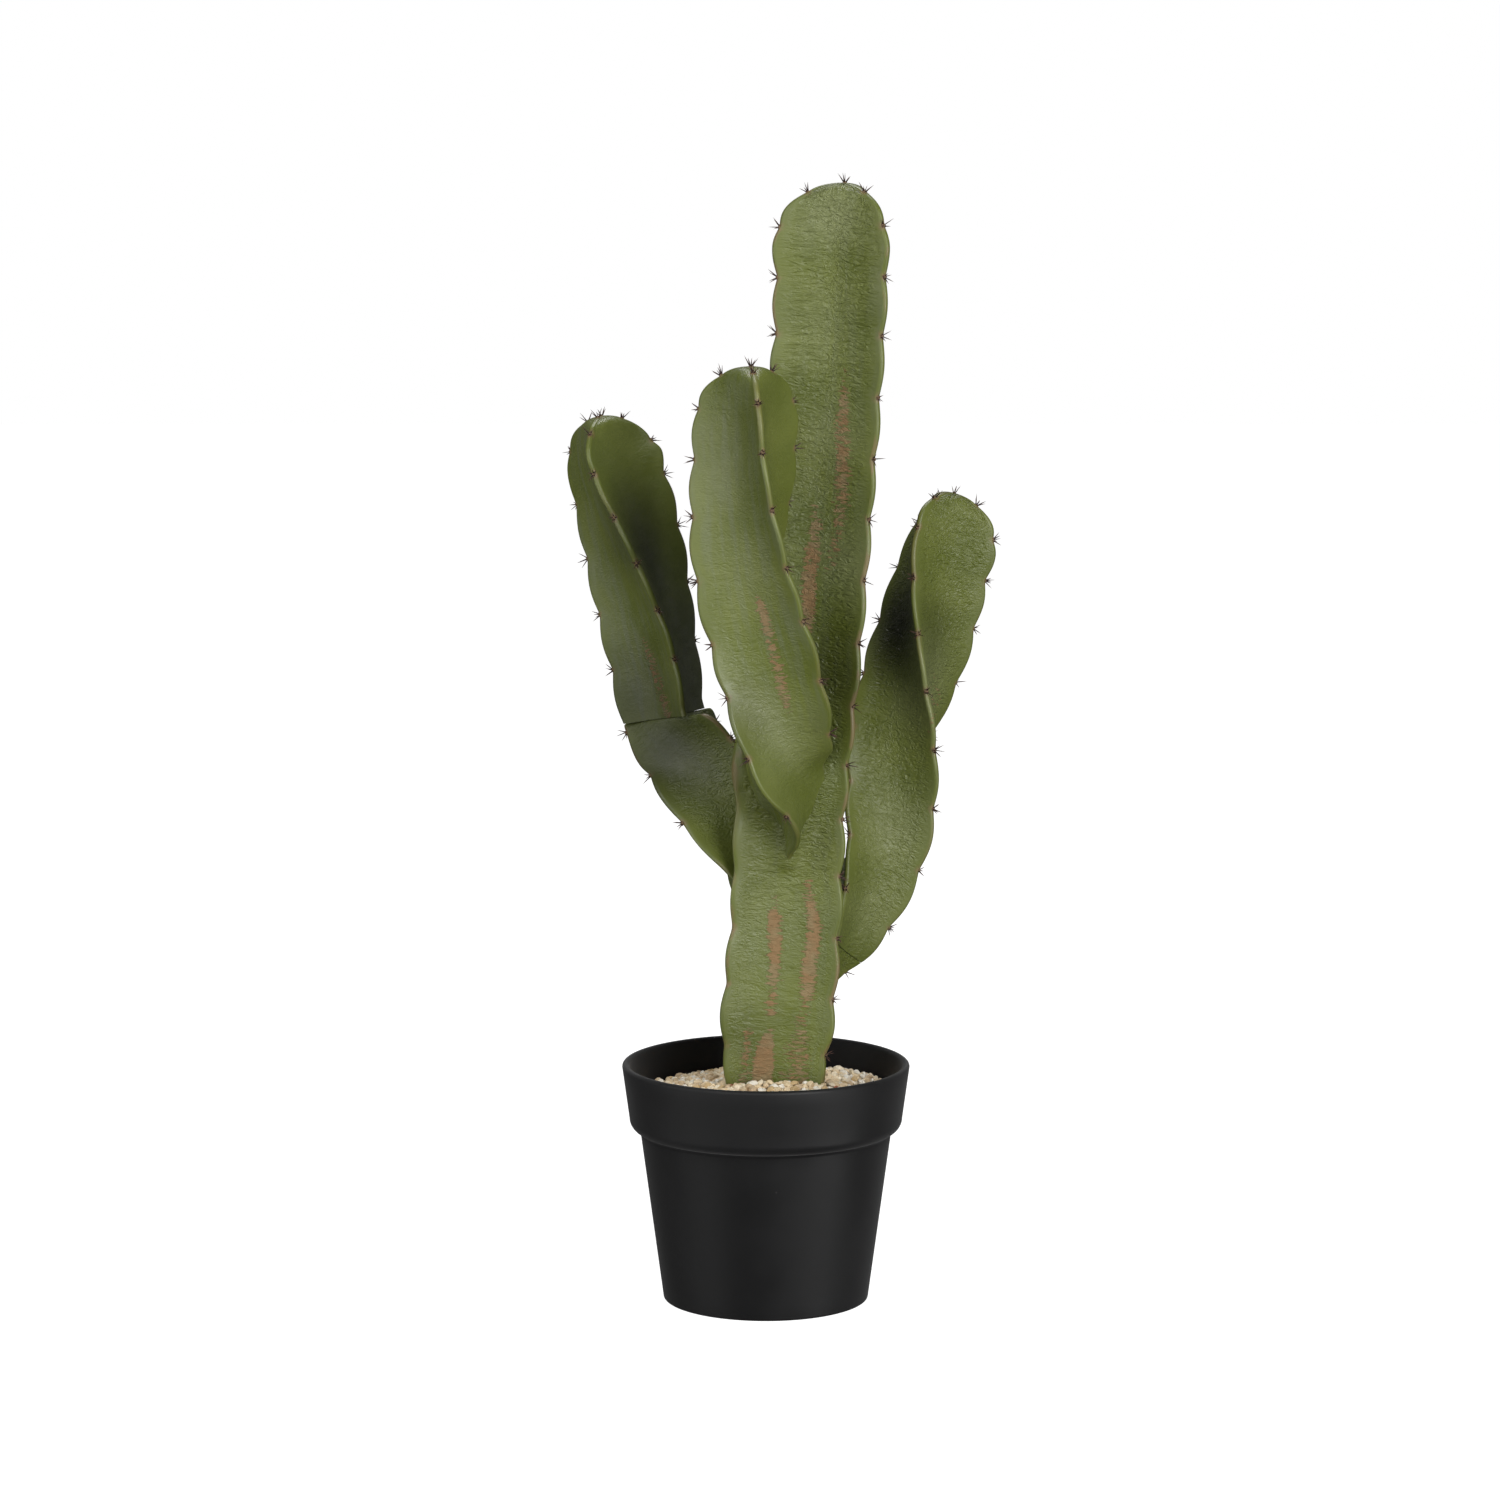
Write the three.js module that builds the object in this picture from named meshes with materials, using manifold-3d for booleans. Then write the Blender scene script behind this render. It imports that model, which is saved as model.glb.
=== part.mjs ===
// Potted cereus cactus: a three-ribbed trunk with three arms, standing in gravel in a plain nursery pot.
// Millimetres, +Z up. The pot stands on z = 0 with its axis on Z, and the front of the plant faces -Y.
import * as THREE from 'three'
import { mergeVertices } from 'three/addons/utils/BufferGeometryUtils.js'
import Module from 'manifold-3d'

const wasm = await Module()
wasm.setup()

// Clearance left between pieces that touch on the real object
const gap = 0.3

// Pot: a tapered body under a wider collar, with a rounded rim
const potHeight = 127
const rimRadius = 76.1
const rimInnerRadius = 72.4
const collarFoot = 97.5
const collarFootRadius = 72.3
const collarCorner = 6.5
const bodyTop = 90
const bodyTopRadius = 66.5
const baseRadius = 54.5
const baseCorner = 1.2
const wall = 2.1
const floorThickness = 2.4
const footRecess = 1
const footRecessInner = 20
const footRecessOuter = 47
const drainCount = 6
const drainRadius = 4
const drainCircle = 34
const potSides = 40

// Filling: soil up to a flat top, then a heaped layer of gravel
const soilTop = 103
const gravelAtWall = 109.5
const gravelAtStem = 116.5
const gravelHeapWidth = 26
const mound = { x: 46, y: 30, height: 3.5, width: 15 }
const stoneSize = 5.4
const stoneCount = 105
const stoneFlatness = 0.72
const stoneShift = 1
const stoneLift = 0.6

// Stems. A station is a point of the centre line with the rib radius and the turn of the first rib,
// in degrees: 0 faces the front and a positive angle turns towards +X.
// valley: radius of the valleys at the bottom and at the top, as a share of the rib radius.
// areolePitch, areolePhase: spacing and offset of the spine tufts on each of the three ribs.
// bareLength: length from the stem's start, on each rib, that is hidden or cut and has no tufts.
const ribCount = 3
const edgeThickness = 2.2
const flankTaper = Math.tan(THREE.MathUtils.degToRad(8))
const trunkStem = {
  stations: [
    [4, 0, 62, 25, 60],
    [4.5, 0, 110, 28.6, 60],
    [5.4, 0, 148, 34.7, 61],
    [9.5, 0, 200, 34.5, 61],
    [12.5, 0, 272, 35, 60],
    [25.3, 0, 351, 36, 42.5],
    [31.4, 0, 431, 36, 42.5],
    [37.9, 0, 511, 35.8, 40],
    [40.6, 0, 590, 38.3, 37],
  ],
  valley: [0.45, 0.22],
  scallop: 2.4,
  dome: 33,
  areolePitch: [31.8, 31.5, 31.2],
  areolePhase: [0.06, 0.5, 0.2],
  bareLength: [62, 62, 62],
}
const frontStem = {
  stations: [
    [8, 2, 240, 11, 150],
    [14, -20, 262, 20, 125],
    [6, -36, 293, 29, 98],
    [3, -47, 341, 31, 57],
    [-6, -54, 392, 32, 37],
    [-8, -57, 444, 32.5, 15],
    [-8, -58, 499, 30, 6],
  ],
  valley: [0.32, 0.32],
  scallop: 2.2,
  dome: 27,
  areolePitch: [31, 31, 30.2],
  areolePhase: [-0.1, 0, 0.2],
  bareLength: [78, 100, 28],
}
const leftElbow = {
  stations: [
    [4, 0, 196, 10, 118],
    [-10, 10, 232, 25.5, 90],
    [-25, 20, 264, 29.5, 64],
    [-38, 30, 293, 31, 37],
    [-60, 39, 325, 30.5, 6],
  ],
  valley: [0.34, 0.34],
  scallop: 2,
  dome: 0,
  areolePitch: [32.7, 32.7, 32.7],
  areolePhase: [0.5, 0, -0.6],
  bareLength: [80, 70, 34],
}
const leftStem = {
  stations: [
    [-50.7, 36, 307, 27.8, 19],
    [-57.7, 39, 346, 29.8, 16],
    [-70, 42, 394, 31.5, 1],
    [-84, 45, 440, 31, -14],
    [-87, 47, 466, 29.5, -16],
  ],
  valley: [0.32, 0.32],
  scallop: 2.2,
  dome: 26,
  areolePitch: [27.1, 30.5, 32],
  areolePhase: [-0.4, -0.13, -0.12],
  bareLength: [6, 6, 6],
}
const rightStem = {
  stations: [
    [8, 0, 152, 10, 165],
    [33.6, 10, 189, 24.7, 120],
    [57, 22, 233, 27.5, 81],
    [70.5, 32, 282, 29.5, 43],
    [80, 39, 332, 31, 4],
    [88.5, 44, 383, 31, -24],
    [100, 47, 425, 30, -40],
  ],
  valley: [0.32, 0.32],
  scallop: 2.2,
  dome: 26,
  areolePitch: [30.2, 29.8, 30],
  areolePhase: [0.2, 0, 0.1],
  bareLength: [38, 60, 60],
}
// The right arm is a piece of its own from here on; below it is a stub of the trunk
const rightSeam = 47
// No tuft stands nearer to a seam than this
const seamClear = 2
// Top of the left elbow, where the left arm stands on it
const elbowCutBox = 90

// Crowding of the tufts towards a tip, in tuft spacings
const tipCrowding = 1.68
// The valleys fill up towards a tip: share of the radius at the tip, and how far down that reaches
const tipFullness = 0.8
const tipFillLength = 8

// Fineness of the surfaces
const pointsPerSpan = 24
const stepsPerTuft = 4
const plainStep = 9
const flankSteps = 2
const tipStep = 0.3

// Spines
const spinesPerTuft = 3
const spineLength = 4.2
const spineRadius = 0.42
const spineRoot = 1.6
const spineLean = 0.75
const spineFootSpread = 0.8
const spineFootSink = 0.3

// Seeded draws between 0 and 1
function drawFrom(seed) {
  let state = seed
  return () => {
    state = (state * 1664525 + 1013904223) % 4294967296
    return state / 4294967296
  }
}

// Solids from three.js geometry and back
function solidOf(geometry) {
  const bare = geometry.clone()
  bare.deleteAttribute('normal')
  bare.deleteAttribute('uv')
  const merged = mergeVertices(bare, 1e-5)
  const vertProperties = new Float32Array(merged.attributes.position.array)
  const triVerts = new Uint32Array(merged.index.array)
  return new wasm.Manifold(new wasm.Mesh({ numProp: 3, vertProperties, triVerts }))
}

function geometryOf(solid) {
  const mesh = solid.getMesh()
  const geometry = new THREE.BufferGeometry()
  geometry.setAttribute('position', new THREE.BufferAttribute(new Float32Array(mesh.vertProperties), 3))
  geometry.setIndex(new THREE.BufferAttribute(new Uint32Array(mesh.triVerts), 1))
  return geometry
}

function namedMesh(name, solid, colour, roughness) {
  const material = new THREE.MeshStandardMaterial({ color: colour, roughness, metalness: 0 })
  material.name = name
  const geometry = geometryOf(solid)
  geometry.computeVertexNormals()
  const mesh = new THREE.Mesh(geometry, material)
  mesh.name = name
  return mesh
}

// A lathe about Z from a profile of [radius, height]
function turned(profile, sides) {
  const points = profile.map(([radius, height]) => new THREE.Vector2(radius, height))
  const geometry = new THREE.LatheGeometry(points, sides)
  geometry.rotateX(Math.PI / 2)
  return geometry
}

function arcPoints(centreRadius, centreHeight, radius, fromDegrees, toDegrees, steps) {
  const points = []
  for (let i = 0; i <= steps; i += 1) {
    const angle = THREE.MathUtils.degToRad(fromDegrees + ((toDegrees - fromDegrees) * i) / steps)
    points.push([centreRadius + radius * Math.cos(angle), centreHeight + radius * Math.sin(angle)])
  }
  return points
}

// Smooth curve through the stations: dense rows of x, y, z, radius, turn with the length so far
function curveThrough(stations) {
  const first = stations[0]
  const last = stations[stations.length - 1]
  const before = first.map((value, i) => 2 * value - stations[1][i])
  const after = last.map((value, i) => 2 * value - stations[stations.length - 2][i])
  const all = [before, ...stations, after]
  const rows = []
  for (let span = 0; span < stations.length - 1; span += 1) {
    const [a, b, c, d] = all.slice(span, span + 4)
    const isLast = span === stations.length - 2
    for (let i = 0; i < pointsPerSpan + (isLast ? 1 : 0); i += 1) {
      const t = i / pointsPerSpan
      rows.push(b.map((value, k) => 0.5 * (
        2 * value + (c[k] - a[k]) * t
        + (2 * a[k] - 5 * value + 4 * c[k] - d[k]) * t * t
        + (3 * value - a[k] - 3 * c[k] + d[k]) * t * t * t
      )))
    }
  }
  let length = 0
  return rows.map((row, i) => {
    if (i > 0) {
      length += Math.hypot(row[0] - rows[i - 1][0], row[1] - rows[i - 1][1], row[2] - rows[i - 1][2])
    }
    return [...row, length]
  })
}

// Place on the curve at a length from its start, with a frame: along, front and side
function placeAt(rows, length) {
  let i = 1
  while (i < rows.length - 1 && rows[i][5] < length) i += 1
  const low = rows[i - 1]
  const high = rows[i]
  const t = (length - low[5]) / (high[5] - low[5])
  const mix = low.map((value, k) => value + (high[k] - value) * t)
  const ahead = rows[Math.min(i + 1, rows.length - 1)]
  const behind = rows[Math.max(i - 2, 0)]
  const along = new THREE.Vector3(ahead[0] - behind[0], ahead[1] - behind[1], ahead[2] - behind[2])
  along.normalize()
  const front = new THREE.Vector3(0, -1, 0)
  front.addScaledVector(along, -front.dot(along)).normalize()
  const side = new THREE.Vector3().crossVectors(along, front)
  return {
    centre: new THREE.Vector3(mix[0], mix[1], mix[2]),
    radius: mix[3],
    turn: THREE.MathUtils.degToRad(mix[4]),
    along,
    front,
    side,
  }
}

// Distance from the tip of tuft number n, and the tuft number at a distance from the tip
function tuftDistance(pitch, n) {
  return pitch * (n - tipCrowding * Math.tanh(n / tipCrowding))
}

function tuftNumber(pitch, distance) {
  let n = distance / pitch + tipCrowding
  const rounds = 60
  for (let i = 0; i < rounds; i += 1) n = distance / pitch + tipCrowding * Math.tanh(n / tipCrowding)
  return n
}

// Ribs, measured at a distance from the tip
function domeShare(stem, distance) {
  if (!stem.dome || distance >= stem.dome) return 1
  return Math.sqrt(Math.max(0, 1 - (1 - distance / stem.dome) ** 2))
}

function ribRadius(stem, place, distance, rib) {
  const n = stem.dome ? tuftNumber(stem.areolePitch[rib], distance) : distance / stem.areolePitch[rib]
  const lobe = Math.abs(Math.sin(Math.PI * (n - stem.areolePhase[rib])))
  const share = domeShare(stem, distance)
  return place.radius * share - stem.scallop * share * (1 - lobe)
}

function ribDirection(place, rib) {
  const angle = place.turn + (rib * 2 * Math.PI) / ribCount
  return new THREE.Vector3()
    .addScaledVector(place.front, Math.cos(angle))
    .addScaledVector(place.side, Math.sin(angle))
}

// Half outline of one rib from its edge to the valley: [outwards, sideways]
function ribHalf(radius, valley, thickness) {
  const edge = Math.min(thickness, radius * 0.4)
  const start = radius - edge
  const rise = 1 / Math.sqrt(3)
  const cornerX = Math.min((valley * 2 * rise - edge - flankTaper * start) / (rise - flankTaper), start)
  const cornerY = valley * 2 * rise - rise * cornerX
  const points = []
  for (let i = 0; i <= flankSteps; i += 1) {
    const t = i / flankSteps
    const x = (1 - t) ** 2 * start + 2 * t * (1 - t) * cornerX + (t * t * valley) / 2
    const y = (1 - t) ** 2 * edge + 2 * t * (1 - t) * cornerY + (t * t * valley * Math.sqrt(3)) / 2
    points.push([x, y])
  }
  return points
}

function sectionPoints(stem, rows, total, distance, grow) {
  const place = placeAt(rows, total - distance)
  const share = domeShare(stem, distance)
  const fill = stem.dome ? Math.exp(-distance / tipFillLength) : 0
  const [lowValley, highValley] = stem.valley
  const valleyShare = highValley + ((lowValley - highValley) * distance) / total
  const ratio = valleyShare + (tipFullness - valleyShare) * fill
  const valley = place.radius * share * ratio + grow
  const points = []
  for (let rib = 0; rib < ribCount; rib += 1) {
    const outward = ribDirection(place, rib)
    const sideways = new THREE.Vector3().crossVectors(place.along, outward)
    const radius = ribRadius(stem, place, distance, rib) + grow
    const half = ribHalf(radius, valley, edgeThickness + grow)
    const put = (x, y) => {
      points.push(place.centre.clone().addScaledVector(outward, x).addScaledVector(sideways, y))
    }
    for (let i = flankSteps - 1; i >= 0; i -= 1) put(half[i][0], -half[i][1])
    put(radius, 0)
    for (let i = 0; i <= flankSteps; i += 1) put(half[i][0], half[i][1])
  }
  return points
}

// Distances from the top end at which the stem has a section, between two lengths along its curve
function sectionDistances(stem, from, to, total) {
  const last = total - from
  const first = total - to
  if (!stem.dome) {
    const count = Math.ceil((last - first) / plainStep)
    return Array.from({ length: count + 1 }, (unused, i) => first + ((last - first) * i) / count)
  }
  const distances = first > 0 ? [first] : []
  for (let n = 1; distances[distances.length - 1] !== last; n += 1) {
    const distance = tuftDistance(stem.areolePitch[0], stem.areolePhase[0] + n / stepsPerTuft)
    if (distance > Math.max(first, 0) + tipStep) distances.push(Math.min(distance, last))
  }
  return distances
}

// One stem as a closed surface, between two lengths along its curve
function stemSolid(stem, { from = 0, to = null, grow = 0 } = {}) {
  const rows = curveThrough(stem.stations)
  const total = rows[rows.length - 1][5]
  const top = to === null ? total : to
  const distances = sectionDistances(stem, from, top, total)
  const rings = distances.map((distance) => sectionPoints(stem, rows, total, distance, grow))
  const size = rings[0].length
  const lastRing = (rings.length - 1) * size
  const triangles = []
  for (let upper = 0; upper < lastRing; upper += size) {
    const lower = upper + size
    for (let i = 0; i < size; i += 1) {
      const next = (i + 1) % size
      triangles.push(lower + i, lower + next, upper + next, lower + i, upper + next, upper + i)
    }
  }
  const topPlace = placeAt(rows, top)
  const topCentre = topPlace.centre.clone()
  if (top === total && stem.dome) topCentre.addScaledVector(topPlace.along, grow)
  const vertices = [...rings.flat(), topCentre, placeAt(rows, from).centre]
  for (let i = 0; i < size; i += 1) {
    const next = (i + 1) % size
    triangles.push(i, next, vertices.length - 2)
    triangles.push(lastRing + next, lastRing + i, vertices.length - 1)
  }
  const geometry = new THREE.BufferGeometry().setFromPoints(vertices)
  geometry.setIndex(triangles)
  return solidOf(geometry)
}

// Spines: thin three-sided needles in tufts at the notches of each rib
function spineSolid(root, direction, length) {
  const geometry = new THREE.ConeGeometry(spineRadius, length + spineRoot, 3, 1)
  geometry.translate(0, (length + spineRoot) / 2 - spineRoot, 0)
  const turn = new THREE.Quaternion().setFromUnitVectors(new THREE.Vector3(0, 1, 0), direction)
  geometry.applyQuaternion(turn)
  geometry.translate(root.x, root.y, root.z)
  return solidOf(geometry)
}

// Spines of one tuft; axes holds its outward, upward and sideways directions
function tuftSpines(root, axes, draw) {
  const spines = []
  const start = draw() * Math.PI * 2
  for (let i = 0; i < spinesPerTuft; i += 1) {
    const angle = start + ((i + 0.5 * draw()) * Math.PI * 2) / spinesPerTuft
    const lean = spineLean * (0.75 + 0.5 * draw())
    const direction = axes.outward.clone()
      .addScaledVector(axes.upward, lean * Math.cos(angle))
      .addScaledVector(axes.sideways, lean * Math.sin(angle))
      .normalize()
    const foot = root.clone()
      .addScaledVector(axes.outward, -spineFootSink)
      .addScaledVector(axes.upward, spineFootSpread * Math.cos(angle))
      .addScaledVector(axes.sideways, spineFootSpread * Math.sin(angle))
    spines.push(spineSolid(foot, direction, spineLength * (0.75 + 0.5 * draw())))
  }
  return spines
}

// Root and axes of every tuft of a stem between two lengths along its curve
function tuftPlaces(stem, from, to) {
  const rows = curveThrough(stem.stations)
  const total = rows[rows.length - 1][5]
  const places = []
  for (let rib = 0; rib < ribCount; rib += 1) {
    for (let n = 1; n * stem.areolePitch[rib] < 2 * total; n += 1) {
      const count = n + stem.areolePhase[rib]
      const pitch = stem.areolePitch[rib]
      const distance = stem.dome ? tuftDistance(pitch, count) : count * pitch
      const length = total - distance
      if (length < Math.max(from, stem.bareLength[rib]) || length > to) continue
      const place = placeAt(rows, length)
      const radial = ribDirection(place, rib)
      const sideways = new THREE.Vector3().crossVectors(place.along, radial)
      const lift = stem.dome ? Math.max(0, 1 - distance / stem.dome) : 0
      const outward = radial.clone().multiplyScalar(domeShare(stem, distance))
        .addScaledVector(place.along, lift)
        .normalize()
      const upward = new THREE.Vector3().crossVectors(outward, sideways)
      const root = place.centre.clone().addScaledVector(radial, ribRadius(stem, place, distance, rib))
      places.push({ root, axes: { outward, upward, sideways } })
    }
  }
  if (stem.dome && to > total) {
    const tip = placeAt(rows, total)
    places.push({ root: tip.centre, axes: { outward: tip.along, upward: tip.front, sideways: tip.side } })
  }
  return places
}

// Adds a stem's spines along a span of its length; one that would touch the neighbour is left out
function withSpines(solid, stem, neighbour, seed, { from = 0, to = Infinity } = {}) {
  const draw = drawFrom(seed)
  let result = solid
  for (const { root, axes } of tuftPlaces(stem, from, to)) {
    for (const spine of tuftSpines(root, axes, draw)) {
      if (spine.intersect(neighbour).getMesh().triVerts.length === 0) result = result.add(spine)
    }
  }
  return result
}

// Trunk with the left elbow and the stub of the right arm grown on
const leftStart = placeAt(curveThrough(leftStem.stations), 0)

function elbowSolid(grow = 0) {
  const elbow = stemSolid(leftElbow, { grow })
  const above = new THREE.BoxGeometry(elbowCutBox, elbowCutBox, elbowCutBox)
  above.translate(0, 0, elbowCutBox / 2 - gap)
  const turn = new THREE.Quaternion().setFromUnitVectors(new THREE.Vector3(0, 0, 1), leftStart.along)
  above.applyQuaternion(turn)
  above.translate(leftStart.centre.x, leftStart.centre.y, leftStart.centre.z)
  return elbow.subtract(solidOf(above))
}

function trunkBody(grow = 0) {
  const trunk = stemSolid(trunkStem, { grow })
  const stub = stemSolid(rightStem, { to: rightSeam - gap, grow })
  return trunk.add(elbowSolid(grow)).add(stub)
}

// Bare arms, cut clear of the trunk
const trunkClear = trunkBody(gap)
const bareArms = {
  front_arm: stemSolid(frontStem).subtract(trunkClear),
  left_arm: stemSolid(leftStem),
  right_arm: stemSolid(rightStem, { from: rightSeam }).subtract(trunkClear),
}

function trunkSolid() {
  const arms = bareArms.front_arm.add(bareArms.left_arm).add(bareArms.right_arm)
  const trunk = withSpines(trunkBody(), trunkStem, arms, 11)
  const withElbow = withSpines(trunk, leftElbow, arms, 12)
  return withSpines(withElbow, rightStem, arms, 16, { to: rightSeam - seamClear })
}

// Pot
function bodyOuter(height) {
  return baseRadius + ((bodyTopRadius - baseRadius) * (height - baseCorner)) / (bodyTop - baseCorner)
}

function potInner() {
  const rimCurve = (rimRadius - rimInnerRadius) / 2
  return [
    [bodyOuter(floorThickness) - wall, floorThickness],
    [bodyTopRadius - wall, bodyTop],
    [collarFootRadius - wall, collarFoot + wall],
    [rimInnerRadius, potHeight - rimCurve],
  ]
}

function potSolid() {
  const rimCurve = (rimRadius - rimInnerRadius) / 2
  const inner = potInner()
  const profile = [
    [0, 0],
    [footRecessInner, 0],
    [footRecessInner + footRecess, footRecess],
    [footRecessOuter - footRecess, footRecess],
    [footRecessOuter, 0],
    ...arcPoints(baseRadius - baseCorner, baseCorner, baseCorner, -90, -6, 2),
    [bodyTopRadius, bodyTop],
    ...arcPoints(collarFootRadius - collarCorner, collarFoot, collarCorner, -75, 0, 4),
    ...arcPoints(rimRadius - rimCurve, potHeight - rimCurve, rimCurve, 0, 180, 5),
    inner[2],
    inner[1],
    inner[0],
    [0, floorThickness],
  ]
  let pot = solidOf(turned(profile, potSides))
  for (let i = 0; i < drainCount; i += 1) {
    const angle = ((i + 0.5) * 2 * Math.PI) / drainCount
    const drain = new THREE.CylinderGeometry(drainRadius, drainRadius, 4 * floorThickness, 16)
    drain.rotateX(Math.PI / 2)
    drain.translate(drainCircle * Math.cos(angle), drainCircle * Math.sin(angle), floorThickness / 2)
    pot = pot.subtract(solidOf(drain))
  }
  return pot
}

// Radius of the filling at a height, clear of the pot
function fillRadius(height) {
  const inner = potInner()
  let i = 1
  while (i < inner.length - 1 && inner[i][1] < height) i += 1
  const [lowRadius, lowHeight] = inner[i - 1]
  const [highRadius, highHeight] = inner[i]
  return lowRadius + ((highRadius - lowRadius) * (height - lowHeight)) / (highHeight - lowHeight) - gap
}

function soilSolid(trunkShape) {
  const profile = [
    [0, floorThickness + gap],
    [fillRadius(floorThickness + gap), floorThickness + gap],
    [fillRadius(bodyTop), bodyTop],
    [fillRadius(collarFoot + wall), collarFoot + wall],
    [fillRadius(soilTop), soilTop],
    [0, soilTop],
  ]
  return solidOf(turned(profile, potSides)).subtract(trunkShape)
}

// Gravel: a heaped bed with stones standing out of it
function gravelHeight(x, y) {
  const fromStem = Math.max(0, Math.hypot(x - trunkStem.stations[1][0], y) - trunkStem.stations[1][3])
  const heap = (gravelAtStem - gravelAtWall) * Math.exp(-((fromStem / gravelHeapWidth) ** 2))
  const away = ((x - mound.x) ** 2 + (y - mound.y) ** 2) / mound.width ** 2
  return gravelAtWall + heap + mound.height * Math.exp(-away)
}

function gravelBed() {
  const outer = fillRadius(gravelAtWall)
  const ringCount = 4
  const vertices = []
  const triangles = []
  const ringAt = (radius, height) => {
    const start = vertices.length
    for (let i = 0; i < potSides; i += 1) {
      const angle = (i * 2 * Math.PI) / potSides
      const x = radius * Math.cos(angle)
      const y = radius * Math.sin(angle)
      vertices.push(new THREE.Vector3(x, y, height === null ? gravelHeight(x, y) : height))
    }
    return start
  }
  const starts = [ringAt(fillRadius(soilTop), soilTop)]
  for (let ring = ringCount; ring >= 1; ring -= 1) starts.push(ringAt((outer * ring) / ringCount, null))
  for (let ring = 0; ring < starts.length - 1; ring += 1) {
    for (let i = 0; i < potSides; i += 1) {
      const next = (i + 1) % potSides
      const low = starts[ring]
      const high = starts[ring + 1]
      triangles.push(low + i, low + next, high + next, low + i, high + next, high + i)
    }
  }
  vertices.push(new THREE.Vector3(0, 0, gravelHeight(0, 0)), new THREE.Vector3(0, 0, soilTop))
  const lastStart = starts[starts.length - 1]
  for (let i = 0; i < potSides; i += 1) {
    const next = (i + 1) % potSides
    triangles.push(lastStart + i, lastStart + next, vertices.length - 2)
    triangles.push(next, i, vertices.length - 1)
  }
  const geometry = new THREE.BufferGeometry().setFromPoints(vertices)
  geometry.setIndex(triangles)
  return solidOf(geometry)
}

function gravelSolid(trunkShape) {
  const draw = drawFrom(21)
  const reach = fillRadius(gravelAtWall) - stoneSize * 1.25
  const goldenTurn = Math.PI * (3 - Math.sqrt(5))
  let gravel = gravelBed()
  for (let i = 0; i < stoneCount; i += 1) {
    const radius = reach * Math.sqrt((i + 0.5) / stoneCount)
    const angle = i * goldenTurn
    const x = radius * Math.cos(angle) + (2 * draw() - 1) * stoneShift
    const y = radius * Math.sin(angle) + (2 * draw() - 1) * stoneShift
    const size = stoneSize * (0.8 + 0.4 * draw())
    const stone = new THREE.OctahedronGeometry(size, 0)
    stone.rotateX(draw() * Math.PI)
    stone.rotateY(draw() * Math.PI)
    stone.scale(1, 0.85 + 0.3 * draw(), stoneFlatness)
    stone.rotateZ(draw() * Math.PI)
    stone.translate(x, y, gravelHeight(x, y) + stoneLift * 2 * draw())
    gravel = gravel.add(solidOf(stone))
  }
  return gravel.subtract(trunkShape)
}

const trunk = trunkSolid()
const arms = {
  front_arm: withSpines(bareArms.front_arm, frontStem, trunk, 13),
  left_arm: withSpines(bareArms.left_arm, leftStem, trunk, 14),
  right_arm: withSpines(bareArms.right_arm, rightStem, trunk, 15, { from: rightSeam + seamClear }),
}

const stemColour = 0x5f7040
const part = new THREE.Group()
part.name = 'potted_cereus_cactus'
part.add(
  namedMesh('pot', potSolid(), 0x1b1c1d, 0.55),
  namedMesh('soil', soilSolid(trunkClear), 0x3a2a1c, 0.95),
  namedMesh('gravel', gravelSolid(trunkClear), 0xc6ad85, 0.85),
  namedMesh('trunk', trunk, stemColour, 0.6),
  ...Object.entries(arms).map(([name, solid]) => namedMesh(name, solid, stemColour, 0.6)),
)

export default part
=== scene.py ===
"""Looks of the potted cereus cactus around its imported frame: fine stems, spines, gravel, soil and pot.

Shapes are in millimetres, as in the frame's source, and turn into metres where a mesh is made.
Materials, lamps and the camera are in metres. +Z is up, the pot stands on z = 0 and the front of
the plant faces -Y.
"""

from dataclasses import dataclass
import math

import bmesh
import bpy
import numpy as np
from mathutils import Matrix, Vector, noise
from mathutils.bvhtree import BVHTree
from mathutils.kdtree import KDTree


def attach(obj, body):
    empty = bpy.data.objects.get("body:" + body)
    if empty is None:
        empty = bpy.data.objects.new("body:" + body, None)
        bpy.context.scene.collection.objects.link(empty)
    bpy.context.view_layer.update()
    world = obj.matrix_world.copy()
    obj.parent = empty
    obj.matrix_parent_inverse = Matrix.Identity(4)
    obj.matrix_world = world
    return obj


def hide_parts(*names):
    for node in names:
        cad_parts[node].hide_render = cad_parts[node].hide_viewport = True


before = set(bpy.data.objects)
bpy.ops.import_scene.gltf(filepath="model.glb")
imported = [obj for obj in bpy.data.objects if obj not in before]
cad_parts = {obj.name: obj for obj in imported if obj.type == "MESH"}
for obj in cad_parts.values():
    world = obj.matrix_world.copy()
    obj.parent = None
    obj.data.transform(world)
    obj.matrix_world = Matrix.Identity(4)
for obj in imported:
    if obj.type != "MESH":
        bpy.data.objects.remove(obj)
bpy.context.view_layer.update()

MM = 0.001
RIBS = 3
RIB_STEP = 2 * math.pi / RIBS

# Stems, as in the frame. A station is a point of the centre line with the rib radius and the turn
# of the first rib in degrees: 0 faces the front and a positive angle turns towards +X.
TRUNK_STATIONS = [
    (4, 0, 62, 25, 60),
    (4.5, 0, 110, 28.6, 60),
    (5.4, 0, 148, 34.7, 61),
    (9.5, 0, 200, 34.5, 61),
    (12.5, 0, 272, 35, 60),
    (25.3, 0, 351, 36, 42.5),
    (31.4, 0, 431, 36, 42.5),
    (37.9, 0, 511, 35.8, 40),
    (40.6, 0, 590, 38.3, 37),
]
FRONT_STATIONS = [
    (8, 2, 240, 11, 150),
    (14, -20, 262, 20, 125),
    (6, -36, 293, 29, 98),
    (3, -47, 341, 31, 57),
    (-6, -54, 392, 32, 37),
    (-8, -57, 444, 32.5, 15),
    (-8, -58, 499, 30, 6),
]
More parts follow.
